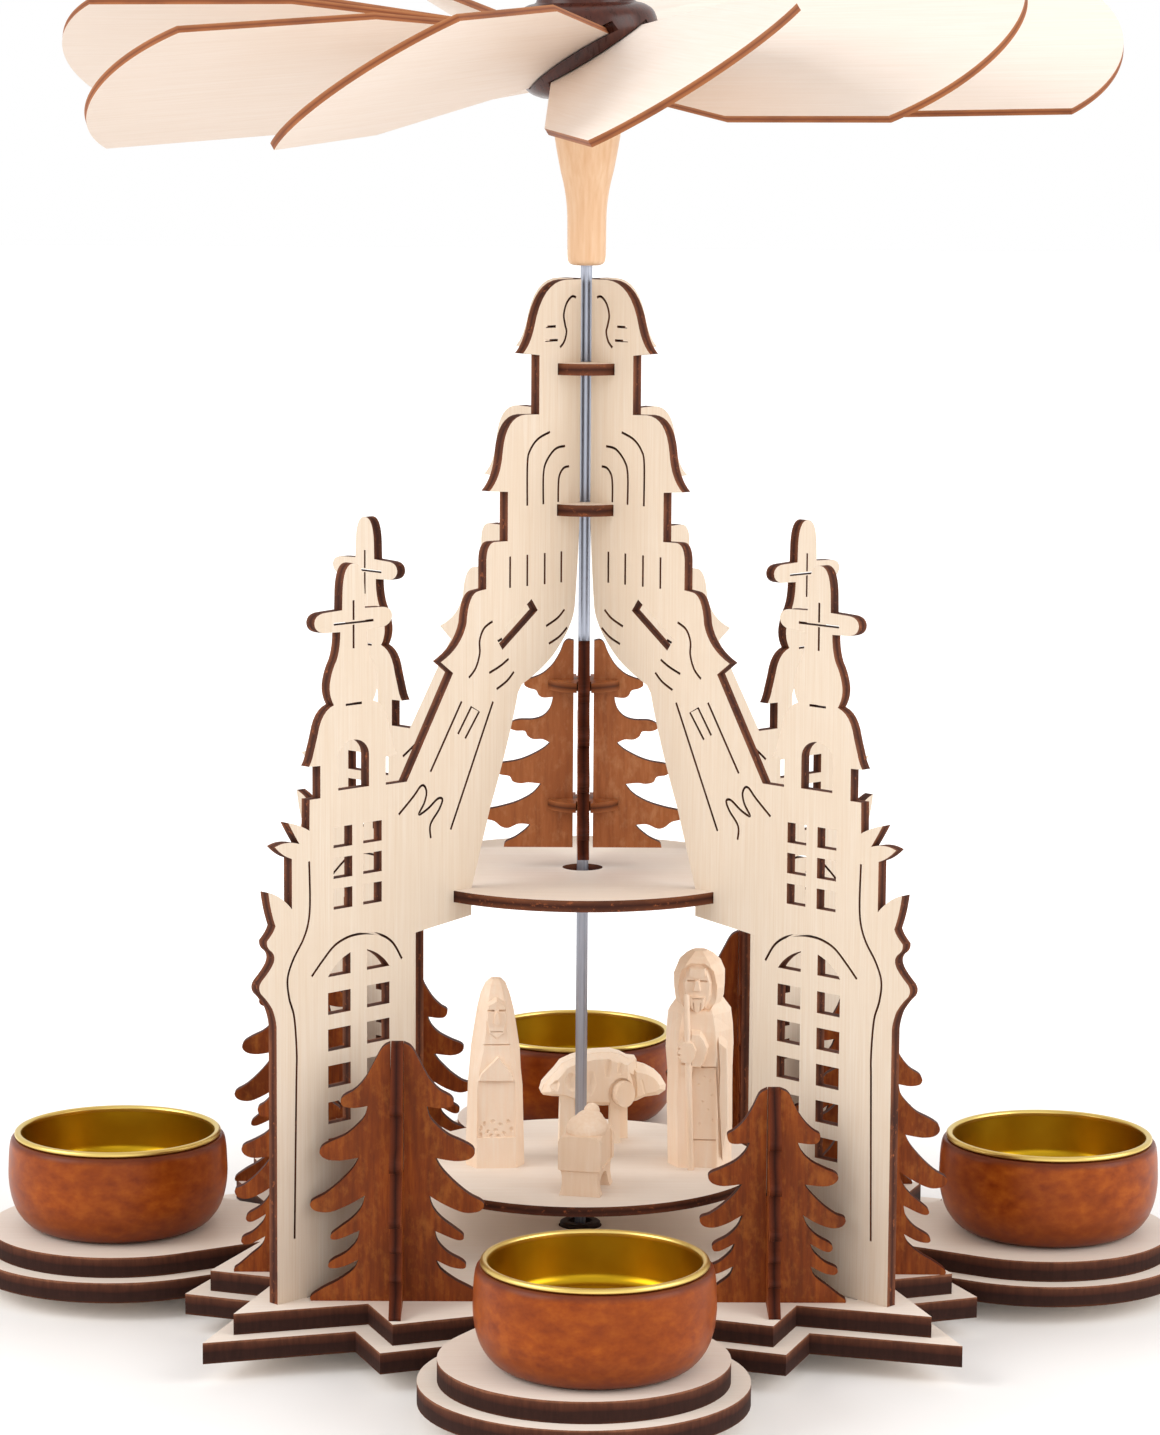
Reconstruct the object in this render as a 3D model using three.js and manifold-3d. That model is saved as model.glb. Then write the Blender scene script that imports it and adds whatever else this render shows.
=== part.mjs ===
import * as THREE from "three";
import { mergeVertices } from "three/addons/utils/BufferGeometryUtils.js";
import Module from "manifold-3d";

// Christmas pyramid of laser-cut plywood. Sizes are in millimetres.
// Z is up, the floor is z = 0 and the front is -Y.
// A "rise" is a height above the deck, which is the top of the upper tier.

// Sheet stock and fits
const tierT = 4.25;
const sheetT = 2.375;
const bladeT = 1.5;
const discT = 2;
const looseFit = 0.3;
const snugFit = 0.1;

// Base of two tiers: four round lobes, and a star with three tips between them
const footH = 4;
const footR = 4;
const footOut = 94;
const footAside = 14;
const lobeD = 96.5;
const lobeR = 27.8;
const lobeNeckIn = 30.1;
const lobeNeck = [14.6, lobeD - lobeNeckIn];
const flankTip = [36.9, 75.1];
const starNotch = [42.2, 60.6];
const starTip = [68.2, 68.2];
const tierStep = 3.8;
const tierTop = footH + tierT;
const deck = tierTop + tierT;

// Four church walls that stand near the diagonals, one a little turned
const wallBearings = { back_right: 43.2, back_left: 135, front_left: 225, front_right: 315 };
const wallInner = 2.7;
const wallTop = 198.75;
const legInner = 49.4;
const legOuter = 86;
const tabFrom = 56;
const tabTo = 78;
const tabShort = 0.25;
const towerX = 65.6;

// Guides and platform, held in slots of the walls
const guideR = 9.05;
const guideRises = [150.75, 179.5];
const platformR = 38;
const platformRise = 74.25;
const platformGrip = 4.7;
const platformHoleR = 4.2;

// Candle holders and their pans
const cupR = 22.9;
const cupH = 19.25;
const cupLip = 1.8;
const cupFloor = 8.5;
const panWall = 0.4;
const panRimInset = 1.3;
const panRimT = 1.1;
const panDepth = 9.5;
// How far each holder was set to one side of its lobe's middle, and how far out
const cupShift = { front: [1.9, 4.2], right: [-0.8, 2], back: [0, 2.5], left: [0.5, 0.7] };

// Shaft and its pivot
const shaftR = 1.2;
const shaftPlay = 0.4;
const pivotR = 4.25;
const pivotProud = 1;
const pivotSeat = 3;
const pivotGap = 0.25;

// Turning disc, neck and hub
const discR = 38;
const discRise = 11.75;
const neckRise = 201.5;
const neckH = 35.25;
const neckBore = 18;
const neckR = 4;
const neckTopR = 7.6;
const hubR = 14.8;
const hubH = 24;
const hubCoreR = 9.3;
const hubSocket = 1.25;

// Blades. The wheel sits a little askew on its neck, lower at the left and front.
const wheelLean = [2.8, -1.7, 0];
const bladeCount = 10;
const bladePitch = 30.8;
const bladeTurn = -7.7;
const bladeAxis = 8.3;
const bladeRootHalf = 10.5;
const bladeHalf = 22.8;
const bladeWideR = 56.7;
const bladeTipR = 108;
const bladeTipRise = 10;
// each blade sits a little differently in its slot: its turn, and the lift of its tip
const bladeSwing = [0, 0, 0, 0, 0, 0, 0, 0.6, 0.6, -1.9];
const bladeLift = [0, 0, 0, 0, 0, 1, -1.4, -0.2, 0, 1.3];

// Upper tree, four half plates hung on two rings
const crownRise = 81;
const crownInner = 2.1;
const crownRingR = 7.5;
const crownRingT = 2;
const crownRingHeights = [8.25, 33.25];
const crownSlotR = 4.8;

// Base trees stand in pairs beside each lobe
const treeAside = 36.6;
const treeOut = 57.5;
// How far each tree was set to one side of that place, and how far out
const treeShift = {
  large: { front: [0, 0], right: [0, 0.8], back: [0, 0], left: [0, 2.4] },
  small: { front: [0.8, 0], right: [0, 2.4], back: [1.9, 0], left: [0, -0.4] },
};
const alongShare = 0.9;

const degree = Math.PI / 180;
const wasm = await Module();
wasm.setup();

// Solids, meshes and groups

function solidOf(geometry) {
  const bare = geometry.clone();
  bare.deleteAttribute("normal");
  bare.deleteAttribute("uv");
  const merged = mergeVertices(bare, 1e-4);
  const at = merged.attributes.position.array;
  const index = merged.index.array;
  const faces = [];
  let volume = 0;
  for (let i = 0; i < index.length; i += 3) {
    const [a, b, c] = [index[i], index[i + 1], index[i + 2]];
    if (a === b || b === c || c === a) continue;
    faces.push(a, b, c);
    const [p, q, r] = [a, b, c].map((k) => new THREE.Vector3().fromArray(at, 3 * k));
    volume += p.dot(q.cross(r));
  }
  if (volume < 0) faces.reverse();
  return new wasm.Manifold(new wasm.Mesh({
    numProp: 3,
    vertProperties: new Float32Array(at),
    triVerts: new Uint32Array(faces),
  }));
}

function geometryOf(solid) {
  const mesh = solid.getMesh();
  const points = [];
  for (let i = 0; i < mesh.vertProperties.length; i += mesh.numProp) {
    points.push(...mesh.vertProperties.slice(i, i + 3));
  }
  const geometry = new THREE.BufferGeometry();
  geometry.setAttribute("position", new THREE.Float32BufferAttribute(points, 3));
  geometry.setIndex([...mesh.triVerts]);
  const flat = geometry.toNonIndexed();
  flat.computeVertexNormals();
  return flat;
}

function put(parent, name, solid, material, position = [0, 0, 0], turns = [0, 0, 0]) {
  const mesh = new THREE.Mesh(geometryOf(solid), material);
  mesh.name = name;
  mesh.position.set(...position);
  mesh.rotation.set(...turns.map((turn) => turn * degree), "ZYX");
  parent.add(mesh);
}

function group(parent, position, bearing = 0) {
  const made = new THREE.Group();
  made.position.set(...position);
  made.rotation.z = bearing * degree;
  parent.add(made);
  return made;
}

function moved(geometry, position, turns = [0, 0, 0]) {
  const spin = new THREE.Euler(...turns.map((turn) => turn * degree), "ZYX");
  const matrix = new THREE.Matrix4().makeRotationFromEuler(spin).setPosition(...position);
  return solidOf(geometry.clone().applyMatrix4(matrix));
}

function united(solids) {
  return solids.reduce((all, next) => all.add(next));
}

function cut(solid, tools) {
  return tools.reduce((left, tool) => left.subtract(tool), solid);
}

// Shapes

function extruded(shape, thickness, segments) {
  const options = { depth: thickness, bevelEnabled: false, curveSegments: segments };
  return new THREE.ExtrudeGeometry(shape, options);
}

// A plate that lies on z = 0
function lying(shape, thickness, segments = 6) {
  return solidOf(extruded(shape, thickness, segments));
}

// A plate that stands on the X axis, with its thickness centred on y = 0
function standing(shape, thickness, segments = 6) {
  return solidOf(extruded(shape, thickness, segments).translate(0, 0, -thickness / 2).rotateX(90 * degree));
}

// A turned piece: its profile points are [radius, height]
function turned(profile, segments) {
  const points = profile.map(([r, h]) => new THREE.Vector2(r, h));
  return solidOf(new THREE.LatheGeometry(points, segments).rotateX(90 * degree));
}

function box(size, centre, turns) {
  return moved(new THREE.BoxGeometry(...size), centre, turns);
}

function outline(points) {
  return new THREE.Shape(points.map(([x, y]) => new THREE.Vector2(x, y)));
}

function rectangle(x0, y0, x1, y1) {
  return outline([[x0, y0], [x1, y0], [x1, y1], [x0, y1]]);
}

function round(radius, segments) {
  const points = [];
  for (let i = 0; i < segments; i += 1) {
    const a = (i / segments) * 2 * Math.PI;
    points.push([radius * Math.cos(a), radius * Math.sin(a)]);
  }
  return outline(points);
}

// A round plate with a round hole in the middle
function washer(outerR, innerR, thickness, segments) {
  const shape = round(outerR, segments);
  shape.holes.push(round(innerR, 20));
  return lying(shape, thickness);
}

// Materials

function finish(colour, roughness, metalness = 0) {
  return new THREE.MeshStandardMaterial({ color: colour, roughness, metalness });
}

const birch = () => finish(0xecd9c2, 0.62);
const stainedFir = () => finish(0x8a4419, 0.5);
const stainedCup = () => finish(0xa24f20, 0.42);
const brass = () => finish(0xb08d1e, 0.28, 1);
const steel = () => finish(0x9c9ca3, 0.3, 1);
const beech = () => finish(0xe7bd8f, 0.5);
const darkHub = () => finish(0x3d2119, 0.45);
const darkPivot = () => finish(0x1c1512, 0.35);
const carvedLime = () => finish(0xe6cfb0, 0.7);

// Base tiers

// Upper outline, a quarter at a time: half a lobe, the star tips, half a lobe
function tierOutline() {
  const points = [];
  const [neckX, neckY] = lobeNeck;
  const reach = Math.hypot(neckX, lobeD - neckY);
  const touch = Math.PI - Math.atan2(neckX, lobeD - neckY) - Math.acos(lobeR / reach);
  const arcSteps = 8;
  const star = [
    [neckY, neckX], [flankTip[1], flankTip[0]], [starNotch[1], starNotch[0]],
    starTip, starNotch, flankTip, lobeNeck,
  ];
  for (let quarter = 0; quarter < 4; quarter += 1) {
    const turn = quarter * 90 * degree;
    const add = ([x, y]) => points.push([
      x * Math.cos(turn) - y * Math.sin(turn),
      x * Math.sin(turn) + y * Math.cos(turn),
    ]);
    for (let i = 0; i <= arcSteps; i += 1) {
      const a = (i / arcSteps) * touch;
      add([lobeD + lobeR * Math.cos(a), lobeR * Math.sin(a)]);
    }
    star.forEach(add);
    for (let i = arcSteps; i > 0; i -= 1) {
      const a = (i / arcSteps) * touch;
      add([lobeR * Math.sin(a), lobeD + lobeR * Math.cos(a)]);
    }
  }
  return points;
}

// The same outline moved outward by one step on every side
function grown(points, step) {
  const count = points.length;
  const outward = (i) => {
    const [a, b] = [points[i % count], points[(i + 1) % count]];
    const length = Math.hypot(b[0] - a[0], b[1] - a[1]);
    return [(b[1] - a[1]) / length, (a[0] - b[0]) / length];
  };
  return points.map(([x, y], i) => {
    const [before, after] = [outward(i + count - 1), outward(i)];
    const share = step / (1 + before[0] * after[0] + before[1] * after[1]);
    return [x + share * (before[0] + after[0]), y + share * (before[1] + after[1])];
  });
}

// The lower tier carries its four bun feet
function lowerTier() {
  const tier = lying(outline(grown(tierOutline(), tierStep)), tierT).translate([0, 0, footH]);
  const bun = turned([
    [0, 0], [0.6 * footR, 0], [footR, 0.4 * footH], [footR, 0.7 * footH],
    [0.8 * footR, footH + 0.5], [0, footH + 0.5],
  ], 12);
  const feet = [0, 90, 180, 270].map((turn) => (
    bun.translate([footOut, footAside, 0]).rotate([0, 0, turn])
  ));
  return united([tier, ...feet]);
}

function upperTier() {
  const shape = outline(tierOutline());
  shape.holes.push(round(pivotR + looseFit, 24));
  const slot = box(
    [tabTo - tabFrom + 2 * looseFit, sheetT + 2 * looseFit, 3 * tierT],
    [(tabFrom + tabTo) / 2, 0, 0],
    [0, 0, 0],
  );
  const slots = Object.values(wallBearings).map((turn) => slot.rotate([0, 0, turn]));
  return cut(lying(shape, tierT), slots);
}

function pivotCup() {
  const top = tierT + pivotProud;
  const seat = top - pivotSeat;
  return turned([
    [0, 0], [pivotR, 0], [pivotR, top - 0.5], [pivotR - 0.5, top],
    [0.6 * pivotR, top], [1, seat], [0, seat],
  ], 20);
}

// Walls

// One side of the tower from its eave to the foot of the cross, as an offset
// from the middle line and a rise. A curve has its control point first.
const towerSide = [
  [11.8, 106.15],
  [9.8, 109.8, 8.6, 114],
  [7.8, 117.2, 5.2, 117.65],
  [6.6, 119.8, 6.3, 121.75],
  [6, 124.2, 4.4, 126.45],
  [3.6, 128.6, 3.5, 131.75],
  [10.3, 131.4, 10.3, 134],
  [10, 136.2, 3, 136.15],
  [2.9, 139.75],
];

function drawTower(s) {
  const crossTop = 145.15;
  for (const step of towerSide) {
    const [x, y] = step.slice(-2);
    if (step.length === 2) s.lineTo(towerX + x, y);
    else s.quadraticCurveTo(towerX + step[0], step[1], towerX + x, y);
  }
  const [armX, armY] = towerSide.at(-1);
  s.bezierCurveTo(towerX + armX, 143.5, towerX + 1.6, crossTop, towerX, crossTop);
  s.bezierCurveTo(towerX - 1.6, crossTop, towerX - armX, 143.5, towerX - armX, armY);
  for (let i = towerSide.length - 1; i > 0; i -= 1) {
    const [x, y] = towerSide[i - 1].slice(-2);
    if (towerSide[i].length === 2) s.lineTo(towerX - x, y);
    else s.quadraticCurveTo(towerX - towerSide[i][0], towerSide[i][1], towerX - x, y);
  }
}

// Church wall: X is the distance from the shaft and Y is the rise
function wallOutline() {
  const s = new THREE.Shape();
  s.moveTo(legInner, 0);
  s.lineTo(tabFrom, 0);
  s.lineTo(tabFrom, tabShort - tierT);
  s.lineTo(tabTo, tabShort - tierT);
  s.lineTo(tabTo, 0);
  s.lineTo(legOuter, 0);
  // waves and leaves of the outer side
  s.lineTo(legOuter, 55.75);
  s.bezierCurveTo(86.4, 60.5, 90.5, 61.4, 90.5, 64.2);
  s.bezierCurveTo(90.4, 66.6, 86.4, 67.2, 86.5, 69.55);
  s.bezierCurveTo(86.8, 71.2, 88.5, 71.4, 88.5, 73);
  s.bezierCurveTo(87.8, 74.4, 86.2, 74.6, 86.2, 75.9);
  s.quadraticCurveTo(87.6, 79.2, 88, 82.65);
  s.quadraticCurveTo(85, 81.6, 81.9, 78.55);
  s.lineTo(81.9, 88.55);
  s.quadraticCurveTo(84.3, 89.3, 86.3, 91.35);
  s.quadraticCurveTo(83.4, 92.5, 79.9, 91.25);
  s.quadraticCurveTo(81.2, 94.6, 82.8, 95.75);
  s.quadraticCurveTo(79.6, 94.9, 77.3, 93.55);
  s.lineTo(77.2, 99.65);
  s.lineTo(74.4, 99.65);
  s.lineTo(74.4, 106.05);
  drawTower(s);
  s.lineTo(57, 106.05);
  s.lineTo(57, 100.4);
  s.lineTo(51.3, 100.4);
  // stacked gables up to the top
  s.lineTo(38.6, 121.05);
  s.lineTo(42, 123.55);
  s.bezierCurveTo(33.6, 127, 35.4, 133.6, 33.2, 135.9);
  s.quadraticCurveTo(32.2, 137.2, 29.4, 137.25);
  s.lineTo(29.4, 143.25);
  s.quadraticCurveTo(29, 146.6, 27, 146.6);
  s.lineTo(23.4, 146.6);
  s.lineTo(23.4, 156.6);
  s.lineTo(28.6, 156.95);
  s.bezierCurveTo(24.6, 160.4, 25.6, 166.6, 24.1, 168.8);
  s.quadraticCurveTo(22.4, 171.9, 18.5, 171.9);
  s.lineTo(14.6, 171.75);
  s.lineTo(14.6, 183.75);
  s.lineTo(19.3, 184.25);
  s.bezierCurveTo(16.4, 187, 15.6, 192.4, 13.4, 195.6);
  s.quadraticCurveTo(11.2, wallTop, 7, wallTop);
  s.lineTo(wallInner, wallTop);
  // inner side, with slots for both guides and for the platform
  const guideReach = guideR + looseFit;
  for (const rise of guideRises.toReversed()) {
    s.lineTo(wallInner, rise + sheetT);
    s.lineTo(guideReach, rise + sheetT);
    s.lineTo(guideReach, rise);
    s.lineTo(wallInner, rise);
  }
  s.quadraticCurveTo(3.1, 141, 4, 131.75);
  s.bezierCurveTo(4.7, 124.6, 11.8, 120.6, 19.2, 116.95);
  s.lineTo(20.4, 115.2);
  s.quadraticCurveTo(23, 105.6, 28, 92.75);
  s.lineTo(platformR - platformGrip, platformRise + sheetT);
  s.lineTo(platformR + looseFit, platformRise + sheetT);
  s.lineTo(platformR + looseFit, platformRise);
  s.lineTo(platformR - platformGrip, platformRise);
  s.lineTo(platformR - platformGrip, platformRise - 3.2);
  s.lineTo(legInner, platformRise - 4.8);
  return s;
}

// Columns of panes, with one row on each sill
function panes(columns, sills, height) {
  return sills.flatMap((sill) => (
    columns.map(([from, to]) => rectangle(from, sill, to, sill + height))
  ));
}

// Round head over both columns of the tall window, split by its middle bar
function windowHead(near, far, sill, top) {
  const head = new THREE.Shape();
  head.moveTo(near, sill);
  head.lineTo(near, top);
  head.quadraticCurveTo(near + 0.65 * (far - near), top - 1.2, far, sill);
  return head;
}

function towerWindow() {
  const half = 4.1;
  const arch = new THREE.Shape();
  arch.moveTo(towerX - half, 100.65);
  arch.lineTo(towerX + half, 100.65);
  arch.absellipse(towerX, 107, half, 3.35, 0, Math.PI, false, 0);
  return arch;
}

function slantingSlot() {
  const middle = new THREE.Vector2(20.65, 129.4);
  const slope = -36 * degree;
  const corners = rectangle(-6.2, -1.5, 6.2, 1.5).getPoints().slice(0, 4);
  return new THREE.Shape(corners.map((p) => p.rotateAround(new THREE.Vector2(), slope).add(middle)));
}

function wallPanel() {
  const tall = [[56, 62.1], [66.5, 72.5]];
  const small = [[58.1, 63.1], [66, 71]];
  const windows = [
    ...panes(tall, [26.75, 34.1, 41.45, 48.8, 56.15], 4.4),
    ...panes(small, [77.05, 83.2, 89.35], 4.1),
    windowHead(tall[0][1], tall[0][0], 63.75, 67.95),
    windowHead(tall[1][0], tall[1][1], 63.75, 67.95),
    towerWindow(),
    slantingSlot(),
  ];
  const panel = standing(wallOutline(), sheetT, 3);
  return cut(panel, windows.map((shape) => standing(shape, 2 * sheetT, 3)));
}

// Firs

// Each branch of a fir half is [tip out, tip height, notch out, notch height]
const largeFir = {
  height: 52.25,
  crown: 3.2,
  foot: 17,
  branches: [
    [11.1, 40.5, 5.8, 39.4],
    [15.2, 30, 7.4, 29],
    [17.1, 19.6, 6.3, 21.4],
    [13.2, 13, 7.2, 14.3],
    [13.8, 7, 7.4, 8.5],
  ],
};

const smallFir = {
  height: 43.25,
  crown: 3,
  foot: 14.6,
  branches: [
    [9.1, 33.5, 4.8, 32.4],
    [12.8, 25.2, 6, 24.2],
    [14.4, 16.4, 5.8, 17.9],
    [11.9, 11, 7.2, 12],
    [13, 6, 7.4, 7.4],
  ],
};

// Upper edge of a branch sags from the notch above, then turns down at the tip
function branchEdge(from, tip, sag) {
  const curve = new THREE.QuadraticBezierCurve(
    new THREE.Vector2(...from),
    new THREE.Vector2(from[0] + sag * (tip[0] - from[0]), tip[1] + 1 + sag * (from[1] - tip[1])),
    new THREE.Vector2(tip[0] - 0.3, tip[1] + 0.8),
  );
  return [curve.getPoint(0.5).toArray(), curve.getPoint(1).toArray(), [tip[0] - 0.2, tip[1] - 0.7]];
}

function firPlate(fir, share, slotFromTop) {
  const { height, crown, foot, branches } = fir;
  const side = [[0, height], [crown, height - 0.7 * crown]];
  for (const [tipX, tipY, notchX, notchY] of branches) {
    side.push(...branchEdge(side.at(-1), [tipX, tipY], 0.28));
    side.push([notchX, notchY]);
  }
  side.push([0.7 * foot, 4], [foot, 0.6], [foot, 0]);
  const right = side.map(([x, y]) => [share * x, y]);
  const left = right.slice(1).reverse().map(([x, y]) => [-x, y]);
  const solid = standing(outline([...right, ...left]), sheetT);
  const middle = height / 2;
  const [low, high] = slotFromTop ? [middle, height + 1] : [-1, middle + looseFit];
  const slot = box([sheetT + 2 * looseFit, 2 * sheetT, high - low], [0, 0, (low + high) / 2]);
  return solid.subtract(slot);
}

// Half plate of the upper tree, from the shaft outward, notched onto its rings
function crownPlate() {
  const branches = [
    [12.3, 34, 6.4, 31.5],
    [15.3, 25, 6.9, 22],
    [18.2, 16.5, 8.7, 13.3],
    [21, 6.8, 10.9, 4.8],
  ];
  const points = [[crownInner, 43.25], [3.3, 43.6], [4.2, 42.75]];
  for (const [tipX, tipY, notchX, notchY] of branches) {
    const reach = tipX - notchX;
    points.push(...branchEdge(points.at(-1), [tipX, tipY], 0.2));
    points.push([tipX - 0.4 * reach, tipY - 2], [notchX, notchY]);
  }
  points.push([13.4, 2.5], [16.1, 1.2], [16.4, 0], [crownInner, 0]);
  for (const height of crownRingHeights) {
    points.push([crownInner, height], [crownSlotR, height]);
    points.push([crownSlotR, height + crownRingT], [crownInner, height + crownRingT]);
  }
  return standing(outline(points), sheetT);
}

function crownRing() {
  const ring = washer(crownRingR, shaftR + snugFit, crownRingT, 24);
  const from = crownSlotR - looseFit;
  const slot = box([crownRingR, sheetT + 2 * looseFit, 3 * crownRingT], [from + crownRingR / 2, 0, 0]);
  return cut(ring, [0, 90, 180, 270].map((turn) => slot.rotate([0, 0, turn])));
}

// Candle holders

function candleCup() {
  const recessR = cupR - cupLip;
  return turned([
    [0, 0], [0.71 * cupR, 0], [0.86 * cupR, 1.6], [0.96 * cupR, 5], [cupR, 10],
    [0.995 * cupR, 15.5], [0.985 * cupR, cupH - 1], [0.95 * cupR, cupH],
    [recessR, cupH], [recessR, cupFloor], [0, cupFloor],
  ], 24);
}

function candlePan() {
  const panR = cupR - cupLip - 0.5;
  const rimR = cupR - panRimInset;
  const floor = cupH - panDepth;
  return turned([
    [0, floor], [panR - 1.6, floor], [panR - 0.5, floor + 1.4], [panR, cupH],
    [rimR, cupH], [rimR, cupH + panRimT], [panR - panWall, cupH + panRimT],
    [panR - 0.5 - panWall, floor + 1.6], [panR - 1.8 - panWall, floor + panWall],
    [0, floor + panWall],
  ], 24);
}

// Rotor

function shaft() {
  const tip = pivotProud - pivotSeat + pivotGap;
  const top = neckRise + neckBore;
  return turned([
    [0, tip], [0.3, tip], [shaftR, tip + 2.4], [shaftR, top - 0.3], [shaftR - 0.3, top], [0, top],
  ], 20);
}

function neck() {
  const boreR = shaftR + snugFit;
  return turned([
    [0, neckBore + snugFit], [boreR, neckBore + snugFit], [boreR, 0],
    [0.7 * neckR, 0], [0.95 * neckR, 1], [1.02 * neckR, 10],
    [1.2 * neckR, 16.5], [0.76 * neckTopR, 21], [0.9 * neckTopR, 26],
    [neckTopR, neckH], [0, neckH],
  ], 20);
}

const bladeBearing = (i) => bladeTurn + (i * 360) / bladeCount + bladeSwing[i];

function hub() {
  const knob = turned([
    [0, 0], [0.64 * hubR, 0], [0.82 * hubR, 0.07 * hubH], [0.95 * hubR, 0.22 * hubH],
    [hubR, 0.44 * hubH], [0.99 * hubR, 0.62 * hubH], [0.9 * hubR, 0.75 * hubH],
    [0.71 * hubR, 0.79 * hubH], [0.66 * hubR, 0.84 * hubH], [0.64 * hubR, 0.94 * hubH],
    [0.5 * hubR, hubH], [0, hubH],
  ], 20);
  // the socket leaves room for the leaning neck top
  const lean = Math.hypot(...wheelLean) * degree;
  const socketR = neckTopR + looseFit + hubSocket * Math.sin(lean);
  const socketDepth = hubSocket + looseFit + neckTopR * Math.sin(lean);
  const socket = lying(round(socketR, 28), 2 * socketDepth).translate([0, 0, -socketDepth]);
  const slotHalf = 1.2 * bladeRootHalf;
  const slot = box([hubR, 2 * slotHalf, bladeT + 2 * looseFit], [hubCoreR + hubR / 2, 0, 0]);
  const cuts = [socket];
  for (let i = 0; i < bladeCount; i += 1) {
    const pitched = slot.rotate([bladePitch, -bladeLift[i], 0]);
    cuts.push(pitched.translate([0, 0, bladeAxis]).rotate([0, 0, bladeBearing(i)]));
  }
  return cut(knob, cuts);
}

function blade() {
  const root = hubCoreR + looseFit;
  const s = new THREE.Shape();
  s.moveTo(root, -bladeRootHalf);
  s.lineTo(bladeWideR, -bladeHalf);
  s.lineTo(bladeTipR - bladeTipRise, -bladeHalf);
  // round tip, one arc from corner to corner
  const tipR = (bladeHalf ** 2 + bladeTipRise ** 2) / (2 * bladeTipRise);
  const spread = Math.asin(bladeHalf / tipR);
  s.absarc(bladeTipR - tipR, 0, tipR, -spread, spread);
  s.lineTo(bladeWideR, bladeHalf);
  s.lineTo(root, bladeRootHalf);
  return solidOf(extruded(s, bladeT, 6).translate(0, 0, -bladeT / 2));
}

// Carved figures, cut in wide facets

function carvedColumn(profile, squash, position = [0, 0, 0]) {
  const points = profile.map(([r, h]) => new THREE.Vector2(r, h));
  const column = new THREE.LatheGeometry(points, 8).rotateX(90 * degree).rotateZ(22.5 * degree);
  return moved(column.scale(1, squash, 1), position);
}

function carvedLump(radii, position, turns) {
  return moved(new THREE.SphereGeometry(1, 8, 5).rotateX(90 * degree).scale(...radii), position, turns);
}

function woman() {
  const robe = carvedColumn([
    [0, 0], [6.4, 0], [6.2, 9], [5.8, 18], [5.1, 26], [4.5, 31.5], [3.5, 36], [1.9, 38.9], [0, 39.5],
  ], 0.8);
  const arms = box([7, 3, 5.5], [0, -3.2, 20], [-12, 0, 0]);
  const face = carvedLump([2.4, 1.5, 3.2], [0, -2.9, 32]);
  return united([robe, arms, face]);
}

function staffBearer() {
  const robe = carvedColumn([
    [0, 0], [7.3, 0], [7.2, 8], [7.4, 20], [7.6, 29], [6.8, 32.6], [4.2, 35.4], [0, 37],
  ], 0.95);
  const hood = carvedColumn([
    [0, 33], [4.6, 34], [5.6, 38], [5.6, 41.5], [4.4, 44.4], [2.4, 45.6], [0, 45.8],
  ], 0.95, [-0.2, 0, 0]);
  const beard = carvedLump([2.7, 1.8, 4], [-0.2, -4.6, 35.6]);
  const arms = box([9, 3, 6.5], [-0.6, -6, 24.5], [-10, 0, 0]);
  const staff = box([1.5, 1.7, 37.4], [-2.8, -8, 18.7]);
  const hand = box([3.6, 3.2, 3.4], [-3, -7.2, 22.6]);
  return united([robe, hood, beard, arms, staff, hand]);
}

function animal() {
  const trunk = carvedLump([10.6, 4.4, 5.8], [-1.4, 0, 13.9]);
  const rump = carvedLump([3.4, 2.4, 2.2], [-10, 0, 12.6]);
  const head = carvedLump([5.6, 3, 3.4], [8.6, -0.2, 13], [0, 22, 0]);
  const ear = carvedLump([2.4, 1.5, 3.1], [4, -3.9, 11]);
  const stance = [[-8.2, -2.2], [-5.8, 2.2], [2.6, -2.2], [4.6, 2.2]];
  const legs = stance.map(([x, y]) => box([2.4, 2.4, 12], [x, y, 6]));
  return united([trunk, rump, head, ear, ...legs]);
}

// Cross-section of the manger, with a hollow along its top
function trestle(grow) {
  const top = 12.2 + grow;
  return outline([
    [-4.4, 0], [4.4, 0], [3.5, 4.7], [4.5, 6.6], [4.5, top], [2.6, top],
    [0, top - 2], [-2.6, top], [-4.5, top], [-4.5, 6.6], [-3.5, 4.7],
  ]);
}

function manger() {
  const arch = box([10, 7.6, 7.2], [0, 0, 0]);
  return standing(trestle(0), 13.5).subtract(arch);
}

function child() {
  const wrap = carvedLump([4.2, 5.6, 2.3], [0.3, -0.6, 13.4], [8, 0, 0]);
  const head = carvedLump([2.1, 1.9, 2], [0.4, 4, 15.1]);
  return united([wrap, head]).subtract(standing(trestle(looseFit), 20));
}

// Assembly

const pyramid = new THREE.Group();

put(pyramid, "base_lower", lowerTier(), birch());
put(pyramid, "base_upper", upperTier(), birch(), [0, 0, tierTop]);
put(pyramid, "pivot_cup", pivotCup(), darkPivot(), [0, 0, tierTop]);

const onDeck = group(pyramid, [0, 0, deck]);
for (const [corner, bearing] of Object.entries(wallBearings)) {
  put(onDeck, `wall_${corner}`, wallPanel(), birch(), [0, 0, 0], [0, 0, bearing]);
}
["guide_lower", "guide_upper"].forEach((name, i) => {
  const guide = washer(guideR, shaftR + shaftPlay, sheetT, 28);
  put(onDeck, name, guide, birch(), [0, 0, guideRises[i]]);
});
put(onDeck, "platform", washer(platformR, platformHoleR, sheetT, 48), birch(), [0, 0, platformRise]);

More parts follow.
